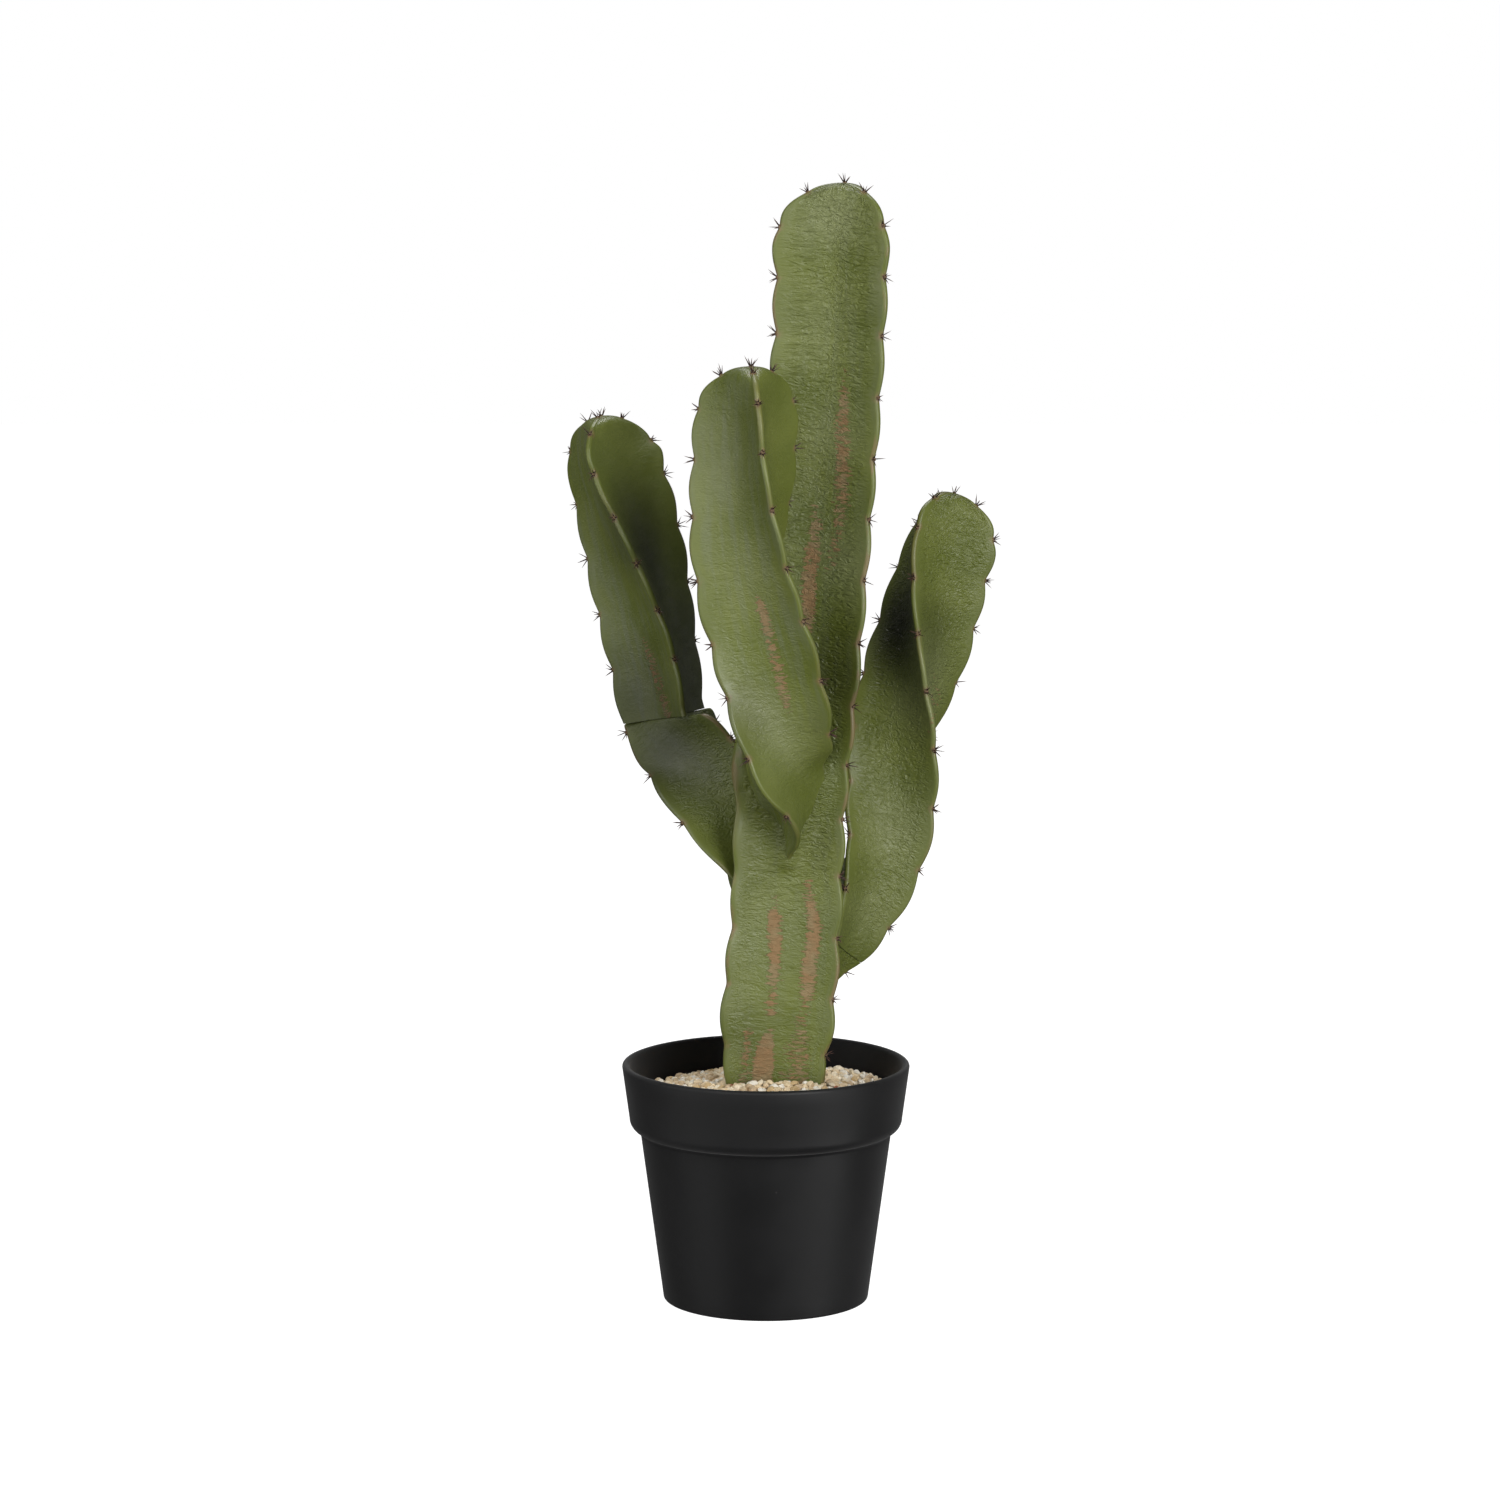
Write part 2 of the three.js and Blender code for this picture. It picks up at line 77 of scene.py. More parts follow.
ELBOW_STATIONS = [
    (4, 0, 196, 10, 118),
    (-10, 10, 232, 25.5, 90),
    (-25, 20, 264, 29.5, 64),
    (-38, 30, 293, 31, 37),
    (-60, 39, 325, 30.5, 6),
]
LEFT_STATIONS = [
    (-50.7, 36, 307, 27.8, 19),
    (-57.7, 39, 346, 29.8, 16),
    (-70, 42, 394, 31.5, 1),
    (-84, 45, 440, 31, -14),
    (-87, 47, 466, 29.5, -16),
]
RIGHT_STATIONS = [
    (8, 0, 152, 10, 165),
    (33.6, 10, 189, 24.7, 120),
    (57, 22, 233, 27.5, 81),
    (70.5, 32, 282, 29.5, 43),
    (80, 39, 332, 31, 4),
    (88.5, 44, 383, 31, -24),
    (100, 47, 425, 30, -40),
]
# Where the seam lies along the right arm, the gap at a seam and the stretch beside it without spines
RIGHT_SEAM = 47
SEAM_GAP = 0.3
SEAM_CLEAR = 2
# Rounding of a crest, thinner than the frame's, and its limit as a share of the rib's radius
EDGE_THICKNESS = 1.7
EDGE_LIMIT = 0.4
FLANK_TAPER = math.tan(math.radians(8))
# How many tufts crowd into the tip, the valleys' share of the ribs' radius there, and the length
# over which it falls to the stem's own share
TIP_CROWDING = 1.68
TIP_FULLNESS = 0.8
TIP_FILL_LENGTH = 8
# Softness of the notch at each tuft, where 0 would be a sharp one
NOTCH_ROUNDING = 0.16

# Fineness of the stems
CURVE_STEPS = 24
RING_STEP = 0.9
CREST_STEPS = 4
FLANK_STEPS = 12
HALF_STEPS = CREST_STEPS + FLANK_STEPS
CROWDING_ROUNDS = 60
# Smoothing of the valleys: rounds, and the share from crest to valley where it starts and its blend
VALLEY_ROUNDS = 4
VALLEY_START = 0.5
VALLEY_BLEND = 0.3
# Radius of the tube on which a stem's skin pattern is laid out
PATTERN_RADIUS = 30


def make_object(name, data):
    made = bpy.data.objects.new(name, data)
    bpy.context.scene.collection.objects.link(made)
    return made


def make_mesh(name, points, faces):
    """A mesh from points in millimetres."""
    mesh = bpy.data.meshes.new(name)
    mesh.from_pydata((np.asarray(points) * MM).tolist(), [], faces)
    mesh.update()
    return mesh


def vertex_vectors(mesh, kind):
    flat = np.empty(len(mesh.vertices) * 3)
    mesh.vertices.foreach_get(kind, flat)
    return flat.reshape(-1, 3)


def mesh_points(mesh):
    """The mesh's vertices in millimetres."""
    return vertex_vectors(mesh, "co") / MM


def move_points(mesh, points):
    mesh.vertices.foreach_set("co", (points * MM).ravel())
    mesh.update()


def add_values(mesh, name, values):
    """A number or a vector for each vertex, for the materials to read."""
    values = np.asarray(values, float)
    kind = "FLOAT" if values.ndim == 1 else "FLOAT_VECTOR"
    attribute = mesh.attributes.new(name, kind, "POINT")
    attribute.data.foreach_set("value" if values.ndim == 1 else "vector", values.ravel())


def shade(mesh, crease):
    """Smooth shading with edges sharper than crease, in degrees, left sharp."""
    mesh.shade_smooth()
    mesh.set_sharp_from_angle(angle=math.radians(crease))


def smooth_noise(points):
    return np.array([noise.noise(Vector(p)) for p in points])


def unit(vectors):
    return vectors / np.linalg.norm(vectors, axis=-1, keepdims=True)


def quadratic(first, middle, last, t):
    return (1 - t) ** 2 * first + 2 * t * (1 - t) * middle + t**2 * last


def ring_quads(start, rings, around):
    """Faces between rings of points that follow one another from the point numbered start."""
    quads = []
    for low in range(start, start + (rings - 1) * around, around):
        for i in range(around):
            after = (i + 1) % around
            quads.append((low + i, low + after, low + around + after, low + around + i))
    return quads


def fan(ring, around, tip):
    """Triangles from a ring of points to one point."""
    return [(ring + i, ring + (i + 1) % around, tip) for i in range(around)]


def flipped(faces):
    return [face[::-1] for face in faces]


def closed_faces(rings, around):
    """Faces round a first point, rings of points and a last point."""
    last = 1 + (rings - 1) * around
    return flipped(fan(1, around, 0)) + ring_quads(1, rings, around) + fan(last, around, last + around)


@dataclass
class Stem:
    """A three-ribbed stem along a curve through its stations.

    pitch, phase and bare have a value for each rib: the step between its tufts, their shift in
    steps, and the length below which it has none. dome is the length over which the top rounds
    off, or 0 for an open end. valley is the valleys' radius at the bottom and at the top as a share
    of the ribs' radius, and scallop is the depth of the dips at the tufts.
    """

    stations: list
    pitch: tuple
    phase: tuple
    bare: tuple
    dome: float
    valley: tuple = (0.32, 0.32)
    scallop: float = 2.2

    def __post_init__(self):
        points = np.array(self.stations, float)
        before = 2 * points[0] - points[1]
        after = 2 * points[-1] - points[-2]
        points = np.vstack([before, points, after])
        t = (np.arange(CURVE_STEPS) / CURVE_STEPS)[:, None]
        rows = []
        for a, b, c, d in zip(points, points[1:], points[2:], points[3:]):
            bend = 2 * a - 5 * b + 4 * c - d
            twist = 3 * b - a - 3 * c + d
            rows.append(0.5 * (2 * b + (c - a) * t + bend * t**2 + twist * t**3))
        rows.append(points[-2:-1])
        rows = np.vstack(rows)
        steps = np.linalg.norm(np.diff(rows[:, :3], axis=0), axis=1)
        self.lengths = np.concatenate([[0], np.cumsum(steps)])
        self.total = self.lengths[-1]
        self.rows = np.hstack([rows, np.gradient(rows[:, :3], self.lengths, axis=0)])

    def place(self, length):
        """Centre, rib radius, turn and the frame (along, front, side) at lengths from the start."""
        length = np.atleast_1d(length)
        mixed = np.stack([np.interp(length, self.lengths, column) for column in self.rows.T], axis=1)
        along = unit(mixed[:, 5:])
        front = unit((0, -1, 0) + along * along[:, 1:2])
        return mixed[:, :3], mixed[:, 3], np.radians(mixed[:, 4]), along, front, np.cross(along, front)

    def tuft_distance(self, rib, number):
        """Distance from the top end of a rib's tuft. The tufts crowd towards a dome."""
        if not self.dome:
            return self.pitch[rib] * number
        return self.pitch[rib] * (number - TIP_CROWDING * math.tanh(number / TIP_CROWDING))

    def tuft_number(self, rib, distance):
        """The number that tuft_distance would turn into the distance, by repeated guesses."""
        if not self.dome:
            return distance / self.pitch[rib]
        number = distance / self.pitch[rib] + TIP_CROWDING
        for _ in range(CROWDING_ROUNDS):
            number = distance / self.pitch[rib] + TIP_CROWDING * np.tanh(number / TIP_CROWDING)
        return number

    def dome_share(self, distance):
        if not self.dome:
            return np.ones_like(distance)
        return np.sqrt(1 - np.clip(1 - distance / self.dome, 0, 1) ** 2)

    def rib_radius(self, rib, radius, distance):
        """Radius of a rib's crest, which dips at each tuft."""
        wave = np.sin(np.pi * (self.tuft_number(rib, distance) - self.phase[rib]))
        lobe = np.hypot(wave, NOTCH_ROUNDING) - NOTCH_ROUNDING
        lobe = lobe / (math.hypot(1, NOTCH_ROUNDING) - NOTCH_ROUNDING)
        share = self.dome_share(distance)
        return radius * share - self.scallop * share * (1 - lobe)

    def valley_radius(self, radius, distance):
        fill = np.exp(-distance / TIP_FILL_LENGTH) if self.dome else 0
        low, high = self.valley
        valley = high + (low - high) * distance / self.total
        ratio = valley + (TIP_FULLNESS - valley) * fill
        return radius * self.dome_share(distance) * ratio

    def ring_distances(self, start, end):
        """Distances from the top end of the sections between two lengths."""
        last = self.total - start
        first = self.total - end
        if first > 0 or not self.dome:
            return np.linspace(first, last, math.ceil((last - first) / RING_STEP) + 1)
        angles = np.linspace(0, math.pi / 2, math.ceil(self.dome * math.pi / 2 / RING_STEP) + 1)
        domed = self.dome * (1 - np.cos(angles[1:]))
        plain = np.linspace(self.dome, last, math.ceil((last - self.dome) / RING_STEP) + 1)
        return np.concatenate([domed, plain[1:]])

    def surface(self, start=0, end=None, grow=0):
        """Rings of points, with the length, angle and share from crest to valley of each."""
        end = self.total if end is None else end
        distance = self.ring_distances(start, end)
        centre, radius, turn, along, front, side = self.place(self.total - distance)
        valley = self.valley_radius(radius, distance) + grow
        steps = np.arange(1 - HALF_STEPS, HALF_STEPS + 1)
        points = []
        angles = []
        for rib in range(RIBS):
            angle = turn + rib * RIB_STEP
            outward = front * np.cos(angle)[:, None] + side * np.sin(angle)[:, None]
            sideways = np.cross(along, outward)
            crest = self.rib_radius(rib, radius, distance) + grow
            half = half_outline(crest, valley, EDGE_THICKNESS + grow)[:, np.abs(steps)]
            across = half[..., 1:] * np.sign(steps)[:, None]
            points.append(centre[:, None] + outward[:, None] * half[..., :1] + sideways[:, None] * across)
            angles.append(rib * RIB_STEP + steps / HALF_STEPS * RIB_STEP / 2)
        points = np.concatenate(points, axis=1)
        shares = np.tile(np.abs(steps) / HALF_STEPS, RIBS)
        return Surface(self, points, self.total - distance, np.concatenate(angles), shares, end)

    def tufts(self, start=0, end=math.inf):
        """Root and axes (outward, upward, sideways) of each spine tuft between two lengths."""
        found = []
        for rib in range(RIBS):
            for number in range(1, math.ceil(2 * self.total / self.pitch[rib])):
                distance = self.tuft_distance(rib, number + self.phase[rib])
                length = self.total - distance
                if max(start, self.bare[rib]) <= length <= end:
                    found.append(self.tuft_place(rib, length, distance))
        if self.dome and end > self.total:
            centre, _, _, along, front, side = self.place(self.total)
            found.append((centre[0], along[0], front[0], side[0]))
        return found

    def tuft_place(self, rib, length, distance):
        centre, radius, turn, along, front, side = (value[0] for value in self.place(length))
        angle = turn + rib * RIB_STEP
        radial = front * math.cos(angle) + side * math.sin(angle)
        sideways = np.cross(along, radial)
        distance = np.array([distance])
        lift = max(0, 1 - distance[0] / self.dome) if self.dome else 0
        outward = unit(radial * self.dome_share(distance)[0] + along * lift)
        root = centre + radial * self.rib_radius(rib, radius, distance)[0]
        return root, outward, np.cross(outward, sideways), sideways


def half_outline(crest, valley, thickness):
    """Half sections of a rib from its crest to the valley: [outwards, sideways] for each ring."""
    crest, valley = crest[:, None], valley[:, None]
    edge = np.minimum(thickness, crest * EDGE_LIMIT)
    start = crest - edge
    rise = 1 / math.sqrt(3)
    corner_x = (valley * 2 * rise - edge - FLANK_TAPER * start) / (rise - FLANK_TAPER)
    corner_x = np.minimum(corner_x, start)
    corner_y = valley * 2 * rise - rise * corner_x
    turn = np.linspace(0, math.pi / 2, CREST_STEPS + 1)
    t = np.linspace(0, 1, FLANK_STEPS + 1)[1:]
    x = np.hstack([start + edge * np.cos(turn), quadratic(start, corner_x, valley / 2, t)])
    y = np.hstack([edge * np.sin(turn), quadratic(edge, corner_y, valley * math.sqrt(3) / 2, t)])
    return np.stack([x, y], axis=-1)


@dataclass
class Surface:
    """A stem's surface as a grid: rings from the top down, points round each ring."""

    stem: Stem
    points: np.ndarray
    lengths: np.ndarray
    angles: np.ndarray
    shares: np.ndarray
    end: float

    def normals(self):
        down = np.gradient(self.points, axis=0)
        around = np.roll(self.points, -1, axis=1) - np.roll(self.points, 1, axis=1)
        return unit(np.cross(down, around))

    def pattern(self):
        """Where each point lies on a straight tube, for patterns that follow the stem."""
        angles, lengths = np.meshgrid(self.angles, self.lengths)
        x, y = PATTERN_RADIUS * np.cos(angles), PATTERN_RADIUS * np.sin(angles)
        return np.stack([x, y, lengths], axis=-1)

    def round_valleys(self):
        """Evens out the bottoms of the valleys round each ring."""
        weight = np.clip((self.shares - VALLEY_START) / VALLEY_BLEND, 0, 1)[:, None] / 2
        for _ in range(VALLEY_ROUNDS):
            middle = (np.roll(self.points, 1, axis=1) + np.roll(self.points, -1, axis=1)) / 2
            self.points = self.points + weight * (middle - self.points)

    def raise_skin(self, heights):
        self.points = self.points + self.normals() * heights[..., None]

    def mesh(self, name):
        """The closed surface, with the values that the skin's material reads."""
        rings, around = self.points.shape[:2]
        count = rings * around
        place = self.stem.place(np.array([self.end, self.lengths[-1]]))[0]
        points = np.vstack([self.points.reshape(-1, 3), place])
        faces = flipped(ring_quads(0, rings, around)) + fan(0, around, count)
        mesh = make_mesh(name, points, faces + flipped(fan(count - around, around, count + 1)))
        ends = [[0, 0, self.end], [0, 0, self.lengths[-1]]]
        add_values(mesh, "pattern", np.vstack([self.pattern().reshape(-1, 3), ends]) * MM)
        shares = np.broadcast_to(self.shares, (rings, around)).ravel()
        add_values(mesh, "share", np.append(shares, [1, 1]))
        add_values(mesh, "known", np.ones(len(points)))
        return mesh


trunk_stem = Stem(
    TRUNK_STATIONS, (31.8, 31.5, 31.2), (0.06, 0.5, 0.2), (62, 62, 62),
    dome=33, valley=(0.45, 0.22), scallop=2.4,
)
elbow_stem = Stem(
    ELBOW_STATIONS, (32.7, 32.7, 32.7), (0.5, 0, -0.6), (80, 70, 34),
    dome=0, valley=(0.34, 0.34), scallop=2,
)
front_stem = Stem(FRONT_STATIONS, (31, 31, 30.2), (-0.1, 0, 0.2), (78, 100, 28), dome=27)
left_stem = Stem(LEFT_STATIONS, (27.1, 30.5, 32), (-0.4, -0.13, -0.12), (6, 6, 6), dome=26)
right_stem = Stem(RIGHT_STATIONS, (30.2, 29.8, 30), (0.2, 0, 0.1), (38, 60, 60), dome=26)

# Relief of the skin: slow swells, and fine wavy wrinkles across the flanks
SWELL_HEIGHT = 0.35
SWELL_SIZE = 34
WRINKLE_HEIGHT = 0.24
WRINKLE_SPAN = 8
WRINKLE_STEP = 2.2
WRINKLE_DRIFT = 2.4
SEED_SHIFT = 211.7
# The relief starts at a share from crest to valley, and fades out over this length below the tip
RELIEF_START = 0.3
RELIEF_BLEND = 0.25
RELIEF_TIP = 25
# Strength of the wrinkles and seed of each stretch of skin: trunk, elbow and stub, then the arms
TRUNK_RELIEFS = ((1, 1), (0.3, 2), (0.4, 3))
FRONT_RELIEF = (0.45, 4)
LEFT_RELIEF = (0.3, 5)
RIGHT_RELIEF = (0.8, 6)
# Rounding of the elbow's top edge: its height, and the share by which the top is narrower
SHOULDER_HEIGHT = 7
SHOULDER_SHARE = 0.11
# The trunk's skin rises towards the front arm from this distance, by up to half of it
FILLET = 9
# Where the elbow and the trunk flow into each other: centre, radius and share
JOINS = (((-22, -8, 252), 44, 1), ((-20, -6, 222), 36, 0.8))
JOIN_ROUNDS = 90
ELBOW_CUT_SIZE = 90


def skin_relief(surface, wrinkles, seed):
    """Height of the skin over the plain form, with wrinkles of the given strength."""
    pattern = surface.pattern()
    shape = pattern.shape[:2]
    flat = pattern.reshape(-1, 3) + seed * SEED_SHIFT
    swell = smooth_noise(flat / SWELL_SIZE)
    drift = smooth_noise(flat / (2 * WRINKLE_SPAN)) * WRINKLE_DRIFT
    stretched = flat / (WRINKLE_SPAN, WRINKLE_SPAN, WRINKLE_STEP)
    stretched[:, 2] += drift
    wrinkle = smooth_noise(stretched)
    off_crest = np.clip((surface.shares - RELIEF_START) / RELIEF_BLEND, 0, 1)
    off_tip = np.clip((surface.stem.total - surface.lengths) / RELIEF_TIP, 0, 1)[:, None]
    strength = wrinkles * off_crest * off_tip
    heights = SWELL_HEIGHT * swell.reshape(shape) * off_crest * off_tip
    return heights + WRINKLE_HEIGHT * wrinkle.reshape(shape) * strength


def boolean(target, operation, tool):
    """Joins or cuts target's mesh with tool's and removes tool."""
    modifier = target.modifiers.new("cut", "BOOLEAN")
    modifier.operation = operation
    modifier.solver = "MANIFOLD"
    modifier.object = tool
    apply_modifiers(target)
    bpy.data.objects.remove(tool)


def apply_modifiers(target):
    depsgraph = bpy.context.evaluated_depsgraph_get()
    made = bpy.data.meshes.new_from_object(target.evaluated_get(depsgraph))
    made.materials.clear()
    target.modifiers.clear()
    old = target.data
    target.data = made
    bpy.data.meshes.remove(old)


def soften_join(piece):
    """Softens the ribs where the elbow has grown together with the trunk."""
    group = piece.vertex_groups.new(name="join")
    share = place_share(mesh_points(piece.data), JOINS)
    for index in np.flatnonzero(share):
        group.add([int(index)], float(share[index]), "REPLACE")
    modifier = piece.modifiers.new("join", "SMOOTH")
    modifier.vertex_group = group.name
    modifier.factor = 0.5
    modifier.iterations = JOIN_ROUNDS
    apply_modifiers(piece)
    piece.vertex_groups.clear()


def stem_object(name, stem, relief=None, start=0, end=None, grow=0):
    """A stem between two lengths, with its relief if it has one."""
    surface = stem.surface(start, end, grow)
    surface.round_valleys()
    if relief:
        surface.raise_skin(skin_relief(surface, *relief))
    return make_object(name, surface.mesh(name))


def elbow_cut():
    """A block that stands on the left arm's seam, square to the arm."""
    centre, _, _, along, _, _ = left_stem.place(0)
    block = make_object("elbow_cut", bpy.data.meshes.new("elbow_cut"))
    shape = bmesh.new()
    bmesh.ops.create_cube(shape, size=ELBOW_CUT_SIZE * MM)
    turn = Vector(along[0]).to_track_quat("Z", "Y").to_matrix().to_4x4()
    middle = Vector(centre[0]) + Vector(along[0]) * (ELBOW_CUT_SIZE / 2 - SEAM_GAP)
    shape.transform(Matrix.Translation(middle * MM) @ turn)
    shape.to_mesh(block.data)
    shape.free()
    return block


def round_shoulder(elbow):
    """Rounds the elbow's top edge down to the width of the left arm, which stands on it."""
    centre, _, _, along, _, _ = left_stem.place(0)
    points = mesh_points(elbow.data)
    offset = points - centre
    under = -(offset @ along[0]) - SEAM_GAP
    radial = offset - np.outer(offset @ along[0], along[0])
    rise = np.clip(1 - under / SHOULDER_HEIGHT, 0, 1)
    points = points - radial * (SHOULDER_SHARE * (1 - np.sqrt(1 - rise**2)))[:, None]
    move_points(elbow.data, points)


def trunk_object(name, reliefs=(None, None, None), grow=0):
    """Trunk with the left elbow and the stub of the right arm grown on."""
    made = stem_object(name, trunk_stem, reliefs[0], grow=grow)
    elbow = stem_object("elbow", elbow_stem, reliefs[1], grow=grow)
    boolean(elbow, "DIFFERENCE", elbow_cut())
    round_shoulder(elbow)
    boolean(made, "UNION", elbow)
    stub = stem_object("stub", right_stem, reliefs[2], end=RIGHT_SEAM - SEAM_GAP, grow=grow)
    boolean(made, "UNION", stub)
    return made


def linear(red, green, blue):
    """Linear colour from 8-bit display values."""
    shares = (value / 255 for value in (red, green, blue))
    return (*(v / 12.92 if v <= 0.04045 else ((v + 0.055) / 1.055) ** 2.4 for v in shares), 1)


class Graph:
    """A material or a world built node by node.

    An input is a number, a colour or another node's output.
    """

    def __init__(self, owner, shader="Principled BSDF"):
        self.owner = owner
        owner.use_nodes = True
        self.nodes = owner.node_tree.nodes
        self.shader = self.nodes[shader]

    def put(self, socket, value):
        if isinstance(value, bpy.types.NodeSocket):
            self.owner.node_tree.links.new(value, socket)
        else:
            socket.default_value = value

    def node(self, kind, inputs, output=0, **settings):
        made = self.nodes.new(kind)
        for name, value in settings.items():
            setattr(made, name, value)
        for name, value in inputs.items():
            self.put(made.inputs[name], value)
        return made.outputs[output]

    def attribute(self, name, output="Fac"):
        return self.node("ShaderNodeAttribute", {}, output, attribute_name=name)

    def place(self):
        return self.node("ShaderNodeTexCoord", {}, "Object")

    def stretch(self, vector, scale):
        return self.node("ShaderNodeMapping", {"Vector": vector, "Scale": scale})

    def noise(self, vector, scale, detail=2, roughness=0.5, distortion=0):
        inputs = {"Vector": vector, "Scale": scale, "Detail": detail}
        inputs.update({"Roughness": roughness, "Distortion": distortion})
        return self.node("ShaderNodeTexNoise", inputs, "Fac")

    def cells(self, vector, scale, output="Distance"):
        return self.node("ShaderNodeTexVoronoi", {"Vector": vector, "Scale": scale}, output)

    def math(self, operation, a, b=0.0):
        return self.node("ShaderNodeMath", {0: a, 1: b}, operation=operation)

    def times(self, a, b):
        return self.math("MULTIPLY", a, b)

    def ramp(self, value, low, high, first=0.0, last=1.0):
        """value mapped from low..high to first..last, smoothly and clamped."""
        inputs = {"Value": value, "From Min": low, "From Max": high, "To Min": first, "To Max": last}
        return self.node("ShaderNodeMapRange", inputs, interpolation_type="SMOOTHSTEP")

    def mix(self, factor, a, b):
        return self.node("ShaderNodeMix", {0: factor, 6: a, 7: b}, 2, data_type="RGBA")

    def bump(self, height, distance, strength, normal=None):
        inputs = {"Height": height, "Distance": distance, "Strength": strength}
        if normal is not None:
            inputs["Normal"] = normal
        return self.node("ShaderNodeBump", inputs)

    def finish(self, **inputs):
        for name, value in inputs.items():
            self.put(self.shader.inputs[name.replace("_", " ")], value)
        return self.owner


def new_material(name):
    return Graph(bpy.data.materials.new(name))


# Colours
BLACK = (0, 0, 0, 1)
WHITE = (1, 1, 1, 1)
SKIN_GREEN = linear(94, 103, 38)
SKIN_LIGHT = linear(105, 113, 48)
SKIN_DEEP = linear(76, 88, 35)
# Bloom colour, also used as painted sheen
SKIN_BLOOM_SHEEN = linear(108, 115, 84)
# Pale colour of the painted highlights
SKIN_HIGHLIGHT = linear(128, 134, 88)
SKIN_EDGE = linear(122, 127, 68)
SKIN_TAN = linear(131, 105, 76)
SCAR_TAN = linear(140, 119, 84)
SCAR_RED = linear(142, 110, 74)
SCAR_DEEP = linear(110, 92, 56)
SPINE_ROOT_COLOUR = linear(36, 20, 16)
SPINE_TIP_COLOUR = linear(84, 56, 46)
FELT = linear(92, 70, 52)
FELT_LIGHT = linear(128, 108, 82)
POT_BLACK = linear(7, 7, 8)
POT_DUST = linear(56, 56, 56)
SOIL_DARK = linear(38, 26, 18)
SOIL_LIGHT = linear(84, 62, 42)
SAND_DARK = linear(44, 35, 24)
SAND_LIGHT = linear(116, 98, 72)
STONE_TINTS = (
    (0.0, linear(246, 232, 204)),
    (0.22, linear(228, 206, 170)),
    (0.4, linear(246, 240, 226)),
    (0.62, linear(236, 214, 176)),
    (0.8, linear(208, 184, 150)),
    (0.94, linear(204, 176, 130)),
    (0.992, linear(176, 112, 86)),
)
STONE_VEIN = linear(176, 150, 112)
FLOOR_DARK = (0.33, 0.33, 0.33, 1)
FLOOR_LIGHT = (0.37, 0.37, 0.37, 1)


def skin_material():
    graph = new_material("cactus_skin")
    pattern = graph.attribute("pattern", "Vector")
    share = graph.attribute("share")
    clouds = graph.noise(pattern, 32, 3)
    colour = graph.mix(graph.ramp(clouds, 0.35, 0.65), SKIN_GREEN, SKIN_LIGHT)
    # Pale bloom in long streaks, with painted sheen where the skin faces left, and pale painted highlights
    # in soft places
    brushed = graph.noise(graph.stretch(pattern, (1, 1, 0.12)), 260, 3)
    bloom_sheen = graph.times(graph.ramp(brushed, 0.4, 0.65), graph.attribute("bloom_sheen"))
    colour = graph.mix(bloom_sheen, colour, SKIN_BLOOM_SHEEN)
    # Painted highlight: a pale colour in listed soft places on lit parts of the skin
    painted_highlight = graph.times(graph.attribute("painted_highlight"), graph.ramp(clouds, 0.3, 0.6, 0.75, 1.0))
    colour = graph.mix(painted_highlight, colour, SKIN_HIGHLIGHT)
    speckle = graph.noise(pattern, 900, 3, 0.6)
    colour = graph.mix(graph.ramp(speckle, 0.3, 0.7, 0.0, 0.16), colour, SKIN_DEEP)
    # A light strip along each crest, and dry patches beside it
    strip = graph.ramp(graph.math("ADD", share, graph.times(clouds, 0.1)), 0.06, 0.13, 1.0, 0.0)
    strip = graph.times(strip, graph.ramp(graph.noise(pattern, 55, 2), 0.35, 0.6, 0.3, 1.0))
    colour = graph.mix(graph.times(strip, graph.attribute("strip")), colour, SKIN_EDGE)
    dry = graph.times(graph.ramp(share, 0.12, 0.26, 1.0, 0.0), graph.attribute("dry"))
    dry = graph.times(dry, graph.ramp(graph.noise(pattern, 48, 3), 0.5, 0.6))
    colour = graph.mix(dry, colour, SKIN_TAN)
    # Corky scars, and brown halos round the tufts
    scarred = scar_share(graph, pattern)
    deep = graph.ramp(graph.noise(graph.stretch(pattern, (0.6, 0.6, 3)), 420, 3), 0.45, 0.65, 0.0, 0.4)
    scar_colour = graph.mix(graph.ramp(graph.noise(pattern, 90, 2), 0.4, 0.6), SCAR_TAN, SCAR_RED)
    scar_colour = graph.mix(deep, scar_colour, SCAR_DEEP)
    colour = graph.mix(graph.times(scarred, 0.92), colour, scar_colour)
    halo = graph.ramp(graph.noise(pattern, 420, 2), 0.35, 0.6)
    halo = graph.times(graph.ramp(graph.attribute("tuft"), 0.1, 0.75), halo)
    colour = graph.mix(graph.times(halo, 0.7), colour, SKIN_TAN)
    # Painted shade: the skin turns darker towards black in listed places near the joints and in hollows
    # where shade falls
    colour = graph.mix(graph.attribute("painted_shade"), colour, BLACK)
    # Relief too fine for the mesh
    waves = graph.noise(graph.stretch(pattern, (0.55, 0.55, 1)), 400, 3, 0.5, 1.6)
    flank = graph.ramp(share, 0.2, 0.45)
    normal = graph.bump(waves, 0.0018, graph.times(flank, graph.attribute("rough")))
    normal = graph.bump(scarred, 0.00025, 0.8, normal)
    pores = graph.noise(pattern, 2600, 2)
    normal = graph.bump(pores, 0.00006, 0.5, normal)
    gloss = graph.ramp(graph.noise(pattern, 120, 3), 0.3, 0.7, 0.4, 0.5)
    rough = graph.node("ShaderNodeMix", {0: scarred, 2: gloss, 3: 0.8}, 0)
    return graph.finish(Base_Color=colour, Roughness=rough, Normal=normal, Specular_IOR_Level=0.6)


